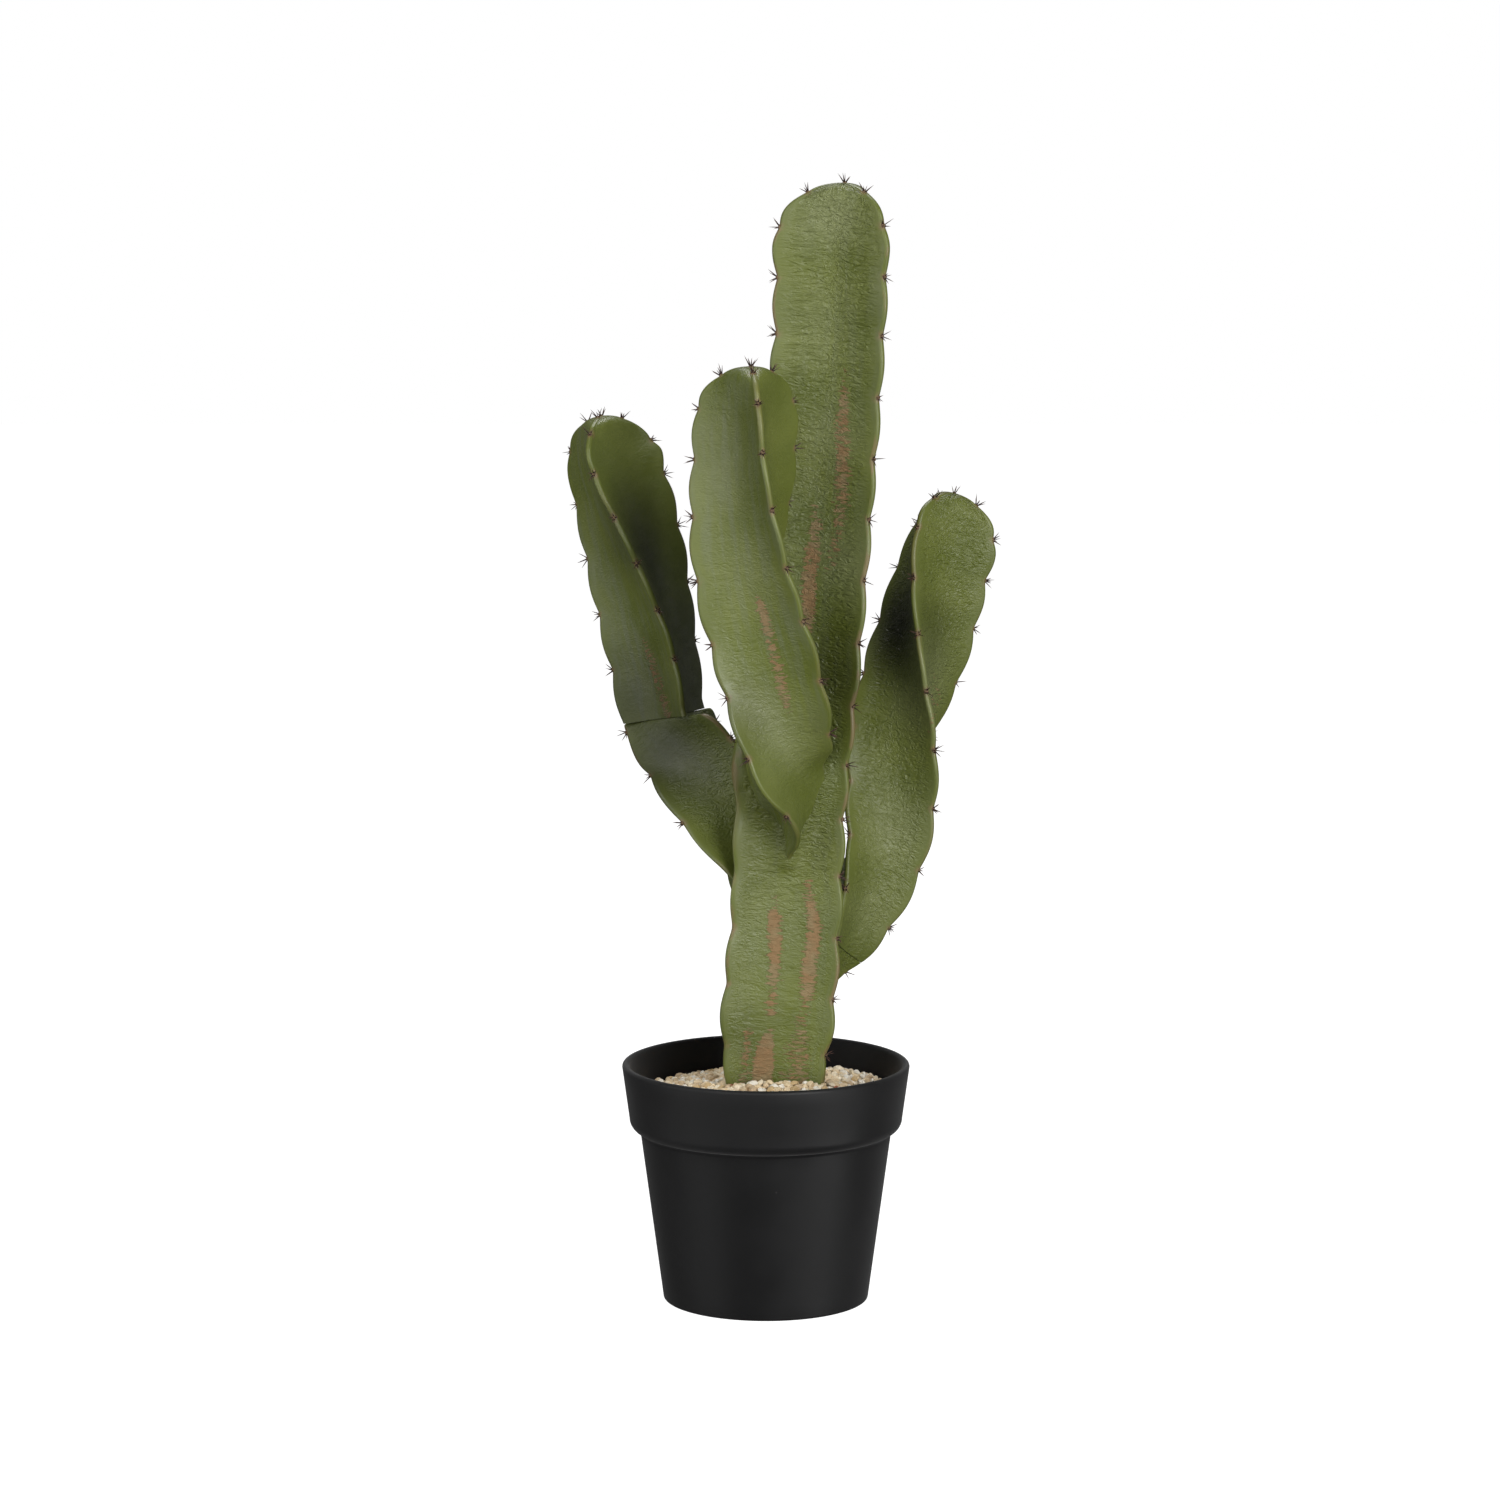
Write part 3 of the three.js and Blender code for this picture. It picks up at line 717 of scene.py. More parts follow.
def scar_share(graph, pattern):
    """1 on the corky dashes across a scar's line, which are closer together where it is strong."""
    scar = graph.attribute("scar")
    dashes = graph.noise(graph.stretch(pattern, (1, 1, 4.5)), 190, 4, 0.6, 0.5)
    reach = graph.math("ADD", dashes, graph.times(graph.math("SUBTRACT", scar, 0.66), 0.22))
    return graph.times(graph.ramp(reach, 0.5, 0.55), graph.ramp(scar, 0.04, 0.2))


def spine_material():
    graph = new_material("cactus_spine")
    reach = graph.attribute("reach")
    blotch = graph.noise(graph.place(), 700, 2)
    painted_shade = graph.math("ADD", reach, graph.times(blotch, 0.5))
    colour = graph.mix(graph.ramp(painted_shade, 0.45, 1.2), SPINE_ROOT_COLOUR, SPINE_TIP_COLOUR)
    return graph.finish(Base_Color=colour, Roughness=graph.ramp(blotch, 0.3, 0.7, 0.45, 0.65))


def crumbly_material(name, scale, detail, span, dark, light, depth):
    """A rough matt material that is light where it stands high. span is the range of its blend."""
    graph = new_material(name)
    crumbs = graph.noise(graph.place(), scale, detail, 0.7)
    colour = graph.mix(graph.ramp(crumbs, *span), dark, light)
    return graph.finish(Base_Color=colour, Roughness=0.95, Normal=graph.bump(crumbs, depth, 0.8))


def pot_material(name, specular):
    """Black plastic with a thin film of dust and a few specks."""
    graph = new_material(name)
    place = graph.place()
    clouds = graph.noise(place, 18, 4)
    speck = graph.ramp(graph.cells(place, 190), 0.05, 0.13, 1.0, 0.0)
    rare = graph.node("ShaderNodeSeparateColor", {0: graph.cells(place, 190, "Color")}, 0)
    dust = graph.times(speck, graph.ramp(rare, 0.93, 0.96))
    film = graph.ramp(clouds, 0.45, 0.75, 0.0, 0.05)
    colour = graph.mix(graph.math("MAXIMUM", film, graph.times(dust, 0.6)), POT_BLACK, POT_DUST)
    graph.finish(Base_Color=colour, Specular_IOR_Level=specular, Sheen_Weight=0.12)
    normal = graph.bump(graph.noise(place, 2200, 3), 0.00005, 0.5)
    return graph.finish(Roughness=graph.ramp(clouds, 0.3, 0.7, 0.46, 0.58), Normal=normal)


def bed_material():
    graph = new_material("gravel_sand")
    grains = graph.cells(graph.place(), 620)
    clouds = graph.noise(graph.place(), 160, 3)
    shade = graph.times(graph.ramp(grains, 0.1, 0.6), graph.ramp(clouds, 0.3, 0.7, 0.5, 1.0))
    colour = graph.mix(shade, SAND_LIGHT, SAND_DARK)
    return graph.finish(Base_Color=colour, Roughness=0.9, Normal=graph.bump(grains, 0.0012, 0.8))


def stone_material():
    graph = new_material("gravel_stone")
    place = graph.place()
    ramp = graph.nodes.new("ShaderNodeValToRGB")
    ramp.color_ramp.interpolation = "CONSTANT"
    stops = ramp.color_ramp.elements
    while len(stops) < len(STONE_TINTS):
        stops.new(0.5)
    for stop, (position, colour) in zip(stops, STONE_TINTS):
        stop.position = position
        stop.color = colour
    graph.put(ramp.inputs[0], graph.attribute("tint"))
    veins = graph.noise(place, 900, 4, 0.65)
    colour = graph.mix(graph.ramp(veins, 0.45, 0.75, 0.0, 0.35), ramp.outputs[0], STONE_VEIN)
    grit = graph.noise(place, 2600, 3)
    return graph.finish(Base_Color=colour, Roughness=0.7, Normal=graph.bump(grit, 0.0002, 0.7))


def floor_material():
    graph = new_material("studio_floor")
    tone = graph.mix(graph.noise(graph.place(), 1.5, 2), FLOOR_DARK, FLOOR_LIGHT)
    return graph.finish(Base_Color=tone, Roughness=0.9, Emission_Color=WHITE, Emission_Strength=1.0)


# Points of a cut that lie closer together than this are one point
SLIVER = 0.01


def clean_cuts(mesh):
    """Merges near points, and clears the pairs of triangles that a cut left back to back."""
    shape = bmesh.new()
    shape.from_mesh(mesh)
    bmesh.ops.remove_doubles(shape, verts=shape.verts, dist=SLIVER * MM)
    bmesh.ops.dissolve_degenerate(shape, edges=shape.edges, dist=SLIVER * MM)
    bmesh.ops.triangulate(shape, faces=shape.faces, quad_method="FIXED", ngon_method="EAR_CLIP")
    shape.verts.index_update()
    first = {}
    doubled = []
    for face in shape.faces:
        corners = frozenset(vertex.index for vertex in face.verts)
        if corners in first:
            doubled += [face, first[corners]]
        first[corners] = face
    bmesh.ops.delete(shape, geom=doubled, context="FACES")
    shape.to_mesh(mesh)
    shape.free()


def fill_cut_values(mesh):
    """Gives the vertices that a cut made the values of the nearest vertex that has them.

    Vertices of the stems themselves carry "known", which is 0 on those that a cut made.
    """
    count = len(mesh.vertices)
    known = np.empty(count)
    mesh.attributes["known"].data.foreach_get("value", known)
    given = np.flatnonzero(known > 0.5)
    missing = np.flatnonzero(known <= 0.5)
    points = mesh_points(mesh)
    tree = KDTree(len(given))
    for index in given:
        tree.insert(Vector(points[index]), int(index))
    tree.balance()
    source = [tree.find(Vector(points[index]))[1] for index in missing]
    for name, key, size in (("pattern", "vector", 3), ("share", "value", 1)):
        values = np.empty(count * size)
        mesh.attributes[name].data.foreach_get(key, values)
        values = values.reshape(count, size)
        values[missing] = values[source]
        mesh.attributes[name].data.foreach_set(key, values.ravel())
    mesh.attributes.remove(mesh.attributes["known"])


# Spines: dark needles that spread from a small felt cushion in each notch
SPINES_LEAST = 4
SPINES_MOST = 6
SPINE_LENGTH = 4.5
SPINE_LENGTHS = (0.6, 1.4)
SPINE_RADIUS = 0.43
SPINE_ROOT = 1
SPINE_FOOT = 0.5
SPINE_SPREAD = 0.75
SPINE_SPREADS = (0.3, 1.4)
SPINE_SCATTER = 0.3
SPINE_BEND = 0.35
SPINE_TAPER = 0.75
SPINE_SIDES = 6
CUSHION_RADIUS = 1.25
CUSHION_RISE = 0.7
CUSHION_LUMPS = 0.07
# Spines and cushions vary in thickness and size by these shares
TUFT_SIZES = (0.8, 1.15)


class Shapes:
    """Points and faces of many small closed shapes, with a value for each point."""

    def __init__(self):
        self.points = []
        self.faces = []
        self.values = []
        self.slots = []

    def add(self, points, faces, values, slot=0):
        start = len(self.points)
        self.points.extend(points)
        self.faces.extend([tuple(start + i for i in face) for face in faces])
        self.values.extend(values)
        self.slots.extend([slot] * len(faces))

    def make(self, name, value_name, *materials):
        mesh = make_mesh(name, self.points, self.faces)
        add_values(mesh, value_name, self.values)
        for material in materials:
            mesh.materials.append(material)
        mesh.polygons.foreach_set("material_index", self.slots)
        return make_object(name, mesh)


def spine_shape(root, direction, bend, length, radius):
    """A tapered needle that bends a little; its value runs from 0 at the root to 1 at the tip."""
    shares = (0, 0.35, 0.7)
    points = []
    across = unit(np.cross(direction, bend))
    other = np.cross(direction, across)
    for share in shares:
        reach = share * (length + SPINE_ROOT) - SPINE_ROOT
        middle = root + direction * reach + bend * SPINE_BEND * share**2
        for i in range(SPINE_SIDES):
            angle = i * 2 * math.pi / SPINE_SIDES
            offset = across * math.cos(angle) + other * math.sin(angle)
            points.append(middle + offset * radius * (1 - SPINE_TAPER * share))
    points.append(root + direction * length + bend * SPINE_BEND)
    count = len(shares) * SPINE_SIDES
    faces = flipped([tuple(range(SPINE_SIDES))]) + ring_quads(0, len(shares), SPINE_SIDES)
    faces += fan(count - SPINE_SIDES, SPINE_SIDES, count)
    values = [share for share in shares for _ in range(SPINE_SIDES)] + [1]
    return points, faces, values


def ball(detail):
    """Points and triangles of a unit ball."""
    shape = bmesh.new()
    bmesh.ops.create_icosphere(shape, subdivisions=detail, radius=1)
    points = np.array([vertex.co[:] for vertex in shape.verts])
    faces = [tuple(vertex.index for vertex in face.verts) for face in shape.faces]
    shape.free()
    return points, faces


def inside(tree, point):
    nearest, normal, _, _ = tree.find_nearest(Vector(point) * MM)
    return (Vector(point) * MM - nearest).dot(normal) < 0


def spines_object(name, tufts, neighbours, seed):
    """The cushions and spines of a stem, apart from those inside a neighbour."""
    draw = np.random.default_rng(seed)
    cushion_points, cushion_faces = ball(2)
    shapes = Shapes()
    for root, outward, upward, sideways in tufts:
        if any(inside(tree, root + outward) for tree in neighbours):
            continue
        axes = np.stack([outward, upward, sideways])
        size = CUSHION_RADIUS * draw.uniform(*TUFT_SIZES)
        lumps = 1 + draw.normal(0, CUSHION_LUMPS, len(cushion_points))[:, None]
        cushion = cushion_points * lumps * (CUSHION_RISE, size, size)
        shapes.add(root + cushion @ axes, cushion_faces, [0] * len(cushion), 1)
        count = draw.integers(SPINES_LEAST, SPINES_MOST + 1)
        start = draw.uniform(0, 2 * math.pi)
        for i in range(count):
            angle = start + (i + draw.uniform(-SPINE_SCATTER, SPINE_SCATTER)) * 2 * math.pi / count
            ray = upward * math.cos(angle) + sideways * math.sin(angle)
            direction = unit(outward + ray * SPINE_SPREAD * draw.uniform(*SPINE_SPREADS))
            length = SPINE_LENGTH * draw.uniform(*SPINE_LENGTHS)
            bend = unit(ray + SPINE_SCATTER * draw.normal(size=3))
            foot = root + ray * SPINE_FOOT
            if any(inside(tree, foot + direction * length) for tree in neighbours):
                continue
            radius = SPINE_RADIUS * draw.uniform(*TUFT_SIZES)
            shapes.add(*spine_shape(foot, direction, bend, length, radius))
    felt = crumbly_material("cactus_felt", 1800, 3, (0.35, 0.65), FELT, FELT_LIGHT, 0.0004)
    made = shapes.make(name, "reach", spine_material(), felt)
    made.data.shade_smooth()
    return made


# Pot, as in the frame
POT_HEIGHT = 127
RIM_RADIUS = 76.1
RIM_INNER_RADIUS = 72.4
COLLAR_FOOT = 97.5
COLLAR_FOOT_RADIUS = 72.3
COLLAR_CORNER = 6.5
BODY_TOP = 90
BODY_TOP_RADIUS = 66.5
BODY_TOP_ROUNDING = 0.8
BASE_RADIUS = 54.5
BASE_CORNER = 1.2
WALL = 2.1
FLOOR_THICKNESS = 2.4
FOOT_RECESS = 1
FOOT_RECESS_INNER = 20
FOOT_RECESS_OUTER = 47
DRAIN_COUNT = 6
DRAIN_RADIUS = 4
DRAIN_CIRCLE = 34
DRAIN_SIDES = 24
POT_SIDES = 200
POT_STEP = 8
POT_CREASE = 32
# Strength of the reflections on the outside, and the weaker ones on the inside that darken the inner wall
# as painted shade
POT_SPECULAR = 0.38
INSIDE_SPECULAR = 0.15


def arc(centre_radius, centre_height, radius, first, last, steps):
    """Profile points on an arc between two angles in degrees."""
    angles = np.radians(np.linspace(first, last, steps + 1))
    return [(centre_radius + radius * math.cos(a), centre_height + radius * math.sin(a)) for a in angles]


def body_outer(height):
    return BASE_RADIUS + (BODY_TOP_RADIUS - BASE_RADIUS) * (height - BASE_CORNER) / (BODY_TOP - BASE_CORNER)


def rounded(profile, corner, radius, steps=4):
    """The profile with a small curve in place of one of its corners."""
    before, here, after = (np.array(point, float) for point in profile[corner - 1:corner + 2])
    first = here + unit(before - here) * radius
    last = here + unit(after - here) * radius
    t = np.linspace(0, 1, steps + 1)[:, None]
    curve = quadratic(first, here, last, t)
    return profile[:corner] + [tuple(point) for point in curve] + profile[corner + 1:]


def pot_profile():
    rim = (RIM_RADIUS - RIM_INNER_RADIUS) / 2
    start = [(0, 0), (FOOT_RECESS_INNER, 0), (FOOT_RECESS_INNER + FOOT_RECESS, FOOT_RECESS)]
    start += [(FOOT_RECESS_OUTER - FOOT_RECESS, FOOT_RECESS), (FOOT_RECESS_OUTER, 0)]
    start += arc(BASE_RADIUS - BASE_CORNER, BASE_CORNER, BASE_CORNER, -90, -6, 6)
    body_corner = len(start)
    start += [(BODY_TOP_RADIUS, BODY_TOP)]
    start += arc(COLLAR_FOOT_RADIUS - COLLAR_CORNER, COLLAR_FOOT, COLLAR_CORNER, -75, 0, 12)
    start += arc(RIM_RADIUS - rim, POT_HEIGHT - rim, rim, 0, 180, 12)
    start += [
        (COLLAR_FOOT_RADIUS - WALL, COLLAR_FOOT + WALL),
        (BODY_TOP_RADIUS - WALL, BODY_TOP),
        (body_outer(FLOOR_THICKNESS) - WALL, FLOOR_THICKNESS),
        (0, FLOOR_THICKNESS),
    ]
    return rounded(start, body_corner, BODY_TOP_ROUNDING)


def turned(name, profile, sides):
    """A closed lathe about Z from a profile that starts and ends on the axis."""
    rings = profile[1:-1]
    angles = np.arange(sides) * 2 * math.pi / sides
    points = [(0, 0, profile[0][1])]
    for radius, height in rings:
        points += [(radius * math.cos(a), radius * math.sin(a), height) for a in angles]
    points.append((0, 0, profile[-1][1]))
    return make_object(name, make_mesh(name, points, closed_faces(len(rings), sides)))


def divided(profile, step):
    """The profile with extra points so that none are further apart than step."""
    points = [profile[0]]
    for (r0, z0), (r1, z1) in zip(profile, profile[1:]):
        count = max(1, math.ceil(math.hypot(r1 - r0, z1 - z0) / step))
        points += [(r0 + (r1 - r0) * i / count, z0 + (z1 - z0) * i / count) for i in range(1, count + 1)]
    return points


def pot_object():
    pot = turned("pot_shell", divided(pot_profile(), POT_STEP), POT_SIDES)
    low, high = -1.5 * FLOOR_THICKNESS, 2.5 * FLOOR_THICKNESS
    hole = [(0, low), (DRAIN_RADIUS, low), (DRAIN_RADIUS, high), (0, high)]
    for i in range(DRAIN_COUNT):
        angle = (i + 0.5) * 2 * math.pi / DRAIN_COUNT
        drain = turned("drain", hole, DRAIN_SIDES)
        shift = (DRAIN_CIRCLE * math.cos(angle), DRAIN_CIRCLE * math.sin(angle), 0)
        drain.data.transform(Matrix.Translation(Vector(shift) * MM))
        boolean(pot, "DIFFERENCE", drain)
    shade(pot.data, POT_CREASE)
    pot.data.materials.append(pot_material("pot_plastic", POT_SPECULAR))
    pot.data.materials.append(pot_material("pot_inside", INSIDE_SPECULAR))
    for face in pot.data.polygons:
        middle = Vector((face.center.x, face.center.y, 0))
        inward = face.normal.dot(middle) < 0 and middle.length > FOOT_RECESS_OUTER * MM
        face.material_index = int(inward)
    return pot


# Gravel: two layers of small broken stones over a sandy bed
STEM_X, _, _, STEM_RADIUS, _ = TRUNK_STATIONS[1]
BED_CUT_LENGTH = 150
SOIL_TOP = 103
GRAVEL_AT_WALL = 109.5
GRAVEL_AT_STEM = 116.5
GRAVEL_HEAP_WIDTH = 26
MOUND_X = 46
MOUND_Y = 30
MOUND_HEIGHT = 3.5
MOUND_WIDTH = 15
FRONT_HEAP_Y = -22
FRONT_HEAP_WIDTH = 11
FRONT_HEAP_STRETCH = 3
FRONT_HEAP_RISE = 4.2
STONE_RADIUS = 2.45
STONE_SIZES = (0.7, 1.25)
STONE_PITCH = 4.4
STONE_SCATTER = 0.9
STONE_LIFTS = (-0.7, 0.9)
STONE_SINK = 0.6
STONE_CLEARANCE = 0.95
STONE_CREASE = 28
# A stone is a ball cut by planes this far from its middle, with its sides scaled by these shares
STONE_CUTS = 7
STONE_CUT_DEPTHS = (0.55, 0.85)
STONE_LENGTH = 1.12
STONE_WIDTHS = (0.75, 1)
STONE_HEIGHTS = (0.6, 0.9)
# The layers' names and heights
STONE_LAYERS = (("gravel_stones", 0.2), ("gravel_stones_below", -1.5))
BED_DROP = 2.2
BED_STEP = 2.5
BED_SIDES = 120


def gravel_height(x, y):
    from_stem = np.maximum(0, np.hypot(x - STEM_X, y) - STEM_RADIUS)
    heap = (GRAVEL_AT_STEM - GRAVEL_AT_WALL) * np.exp(-((from_stem / GRAVEL_HEAP_WIDTH) ** 2))
    away = ((x - MOUND_X) ** 2 + (y - MOUND_Y) ** 2) / MOUND_WIDTH**2
    return GRAVEL_AT_WALL + heap + MOUND_HEIGHT * np.exp(-away)


def inner_radius(height):
    """Radius of the pot's inner wall within the collar."""
    low, high = COLLAR_FOOT + WALL, POT_HEIGHT - (RIM_RADIUS - RIM_INNER_RADIUS) / 2
    share = (height - low) / (high - low)
    return COLLAR_FOOT_RADIUS - WALL + (RIM_INNER_RADIUS - COLLAR_FOOT_RADIUS + WALL) * share


def stone_shape(draw, points):
    """A broken pebble: a ball cut flat by a few random planes, then squashed and turned."""
    shape = points.copy()
    for _ in range(STONE_CUTS):
        direction = unit(draw.normal(size=3))
        over = np.maximum(0, shape @ direction - draw.uniform(*STONE_CUT_DEPTHS))
        shape = shape - over[:, None] * direction
    shape = shape * (STONE_LENGTH, draw.uniform(*STONE_WIDTHS), draw.uniform(*STONE_HEIGHTS))
    turn = np.array(Vector(unit(draw.normal(size=3))).to_track_quat("Z", "Y").to_matrix())
    return shape @ turn.T


def stones_object(name, lift, tree, seed):
    """A layer of stones round the stem, whose skin is in tree."""
    draw = np.random.default_rng(seed)
    points, faces = ball(2)
    reach = inner_radius(GRAVEL_AT_WALL)
    rows = np.arange(-reach, reach, STONE_PITCH * math.sqrt(3) / 2)
    stones = Shapes()
    for number, row in enumerate(rows):
        shift = STONE_PITCH * (number % 2) / 2
        for column in np.arange(-reach + shift, reach, STONE_PITCH):
            x, y = np.array([column, row]) + draw.uniform(-STONE_SCATTER, STONE_SCATTER, 2)
            radius = STONE_RADIUS * draw.uniform(*STONE_SIZES)
            tint = draw.uniform()
            shape = stone_shape(draw, points) * radius
            off_heap = math.hypot((x - STEM_X) / FRONT_HEAP_STRETCH, y - FRONT_HEAP_Y) / FRONT_HEAP_WIDTH
            heap = FRONT_HEAP_RISE * math.exp(-(off_heap**2))
            z = float(gravel_height(x, y)) + heap - radius * STONE_SINK + lift + draw.uniform(*STONE_LIFTS)
            if math.hypot(x, y) + radius > reach:
                continue
            place = Vector((x, y, z)) * MM
            nearest, normal, _, distance = tree.find_nearest(place)
            if (place - nearest).dot(normal) < 0 or distance < radius * STONE_CLEARANCE * MM:
                continue
            stones.add(shape + (x, y, z), faces, [tint] * len(points))
    made = stones.make(name, "tint", stone_material())
    shade(made.data, STONE_CREASE)
    return made


def bed_object():
    """The sandy bed that shows between the stones, closed underneath."""
    radius = inner_radius(SOIL_TOP) - SEAM_GAP
    radii = [*np.arange(0, radius, BED_STEP)[1:], radius]
    angles = np.arange(BED_SIDES) * 2 * math.pi / BED_SIDES
    points = [(0, 0, float(gravel_height(0, 0)) - BED_DROP)]
    for r in radii:
        x, y = r * np.cos(angles), r * np.sin(angles)
        points += list(zip(x, y, gravel_height(x, y) - BED_DROP))
    points += [(radius * math.cos(a), radius * math.sin(a), SOIL_TOP + SEAM_GAP) for a in angles]
    points.append((0, 0, SOIL_TOP + SEAM_GAP))
    faces = [face[:1] + face[:0:-1] for face in closed_faces(len(radii) + 1, BED_SIDES)]
    return make_object("gravel_bed", make_mesh("gravel_bed", points, faces))


# Scars: brown corky streaks on the front or the back, each a line of (x, z, half width, strength)
FRONT = -1
BACK = 1
SCARS = {
    ("trunk_stem", FRONT): (
        ((41, 496, 1, 0.4), (40, 479, 2.8, 0.9), (39.6, 463, 3.2, 1.1), (39, 427, 3.2, 1.05),
         (37.5, 411, 2.6, 0.85), (34.7, 398, 2.6, 0.65), (32, 391, 2, 0.4)),
        ((23.3, 425, 1.6, 0.5), (25.9, 416, 3.2, 0.75), (24.9, 403, 3.5, 1),
         (22.3, 385, 3.4, 1.4), (22.3, 369, 3.2, 1.4), (22, 358, 2.4, 1)),
        ((4.7, 219, 1.3, 0.5), (5, 212, 2.1, 0.8), (4.2, 209, 2.9, 1.4), (4.7, 192, 3.2, 1.4),
         (4.2, 175, 2.6, 1.2), (3.7, 168, 2.8, 0.85), (2.6, 157, 3, 0.75)),
        ((1.6, 148, 0.8, 1.5), (0.3, 140, 2.9, 2.4), (-1, 131, 4.1, 2.6), (-3.2, 112, 4.3, 2.6)),
        ((-9.6, 147, 1.6, 0.7), (-10.8, 134, 2.3, 0.8), (-12.4, 112, 2.6, 0.85)),
        ((21.5, 227, 1.6, 0.6), (23.1, 218, 2.6, 1.1), (25.2, 203, 3.1, 1.4), (24.2, 190, 3.4, 1.4),
         (22.6, 178, 3.7, 1.4), (21.6, 165, 3.2, 1.3), (21, 161, 1.6, 0.5)),
        ((21, 161, 2, 0.65), (19, 152, 3, 0.7), (16.5, 140, 5.2, 0.72), (15, 112, 7.2, 0.72)),
    ),
    ("trunk_stem", BACK): (
        ((12, 330, 1.5, 0.5), (11, 306, 2.8, 1.1), (10, 276, 2.6, 0.8), (9, 250, 2, 0.4)),
        ((-4, 172, 2, 0.5), (-6, 148, 4, 1), (-8, 112, 5, 0.7)),
    ),
    ("front_arm_stem", FRONT): (
        ((-4.8, 383, 1.2, 0.7), (-2.8, 377, 2.2, 1.3), (-0.7, 370, 2.2, 1.3), (3, 355, 2.2, 0.9),
         (7, 339, 2.7, 1), (9.6, 329, 2.7, 0.95), (11, 321, 1.8, 0.5)),
    ),
    ("left_arm_stem", FRONT): (
        ((-64, 348, 1.6, 0.6), (-61.4, 340, 2.1, 0.8), (-57.6, 328, 2.1, 0.85), (-52, 309, 2.2, 0.8)),
    ),
    ("right_arm_stem", FRONT): (((91, 330, 1.6, 0.3), (90, 315, 2.7, 0.45), (87, 303, 2.1, 0.3)),),
    ("right_arm_stem", BACK): (((84, 352, 1.6, 0.4), (80, 322, 2.6, 0.9), (75, 298, 2, 0.5)),),
}
# Places where the skin is painted darker as shade, painted pale as a highlight, or smoother: centre, radius
# and share
PAINTED_SHADE = (
    ((-54, 22, 290), 50, 0.7),
    ((-68, 34, 314), 52, 0.55),
    ((70, 44, 354), 40, 0.8),
    ((36, -18, 335), 40, 0.4),
    ((-10, -60, 322), 30, 0.25),
    ((-12, -14, 144), 34, 0.1),
    ((-62, 32, 408), 44, 0.5),
)
PAINTED_HIGHLIGHTS = (
    ((31, -14, 574), 28, 1),
    ((22, -14, 516), 36, 0.3),
    ((36, -16, 460), 26, 0.5),
    ((46, -22, 394), 34, 0.9),
    ((-37, -66, 450), 46, 0.6),
    ((-12, -62, 392), 36, 0.25),
    ((8, -50, 310), 36, 0.5),
    ((88, 24, 322), 42, 0.9),
    ((72, 10, 250), 36, 0.5),
    ((58, 4, 205), 32, 0.5),
    ((0, -14, 200), 40, 0.3),
)
SMOOTH_SKIN = (((-52, 24, 290), 62, 1), ((-18, -10, 240), 34, 0.8), ((4, -16, 165), 95, 0.85))
# How much of its roughness the smoother skin loses, and the reach of a tuft's halo
SMOOTHED = 0.8
HALO_RADIUS = 4.5
# A scar fades out where the skin turns aside, and the bloom with its painted sheen where it turns to the
# right
SCAR_FACING = 4
BLOOM_SHEEN_FACING = 1.5
BLOOM_SHEEN_SHARE = 0.6
# How far a streak reaches from its line, in half widths: it fades over the last one
STREAK_REACH = 1.6
SKIN_CREASE = 50


def place_share(points, places):
    """How much each point lies in the places: their own share at the centre, 0 at their radius."""
    share = np.zeros(len(points))
    for centre, radius, most in places:
        near = np.clip(1 - np.linalg.norm(points - centre, axis=1) / radius, 0, 1)
        share = np.maximum(share, most * near * near * (3 - 2 * near))
    return share


def mark_skin(piece, tufts, rough, bloom_sheen, dry, strip):
    """Stores what the skin's material reads: places of scars and halos, and the stem's amounts."""
    mesh = piece.data
    points = mesh_points(mesh)
    normals = vertex_vectors(mesh, "normal")
    scar = np.zeros(len(points))
    for facing in (FRONT, BACK):
        seen = np.clip(normals[:, 1] * facing * SCAR_FACING, 0, 1)
        for line in SCARS.get((piece.name, facing), ()):
            scar = np.maximum(scar, seen * line_share(points, line))
    halo = np.zeros(len(points))
    for root, _, _, _ in tufts:
        gap = np.linalg.norm(points - root, axis=1)
        halo = np.maximum(halo, np.clip(1 - gap / HALO_RADIUS, 0, 1))
    apart = 1 - place_share(points, JOINS)
    stored = {
        "scar": scar,
        "tuft": halo,
        # Places of painted shade, then of painted highlight
        "painted_shade": place_share(points, PAINTED_SHADE),
        "painted_highlight": place_share(points, PAINTED_HIGHLIGHTS),
        "rough": rough * (1 - SMOOTHED * place_share(points, SMOOTH_SKIN)),
        # The bloom is partly painted sheen: it is stronger where the skin faces left
        "bloom_sheen": bloom_sheen * np.clip(BLOOM_SHEEN_SHARE - BLOOM_SHEEN_FACING * normals[:, 0], 0, 1),
        "dry": dry * apart,
        "strip": strip * apart,
    }
    for name, values in stored.items():
        add_values(mesh, name, values)
    mesh.materials.append(skin)
    shade(mesh, SKIN_CREASE)


def line_share(points, line):
    """How far into a streak each point is: its strength on the line, 0 beyond its edges."""
    share = np.zeros(len(points))
    for (x0, z0, w0, s0), (x1, z1, w1, s1) in zip(line, line[1:]):
        run = np.array([x1 - x0, z1 - z0])
        t = ((points[:, 0] - x0) * run[0] + (points[:, 2] - z0) * run[1]) / (run @ run)
        t = np.clip(t, 0, 1)
        gap = np.hypot(points[:, 0] - x0 - t * run[0], points[:, 2] - z0 - t * run[1])
        width = w0 + (w1 - w0) * t
        strength = s0 + (s1 - s0) * t
        share = np.maximum(share, strength * np.clip(STREAK_REACH - gap / width, 0, 1))
    return share


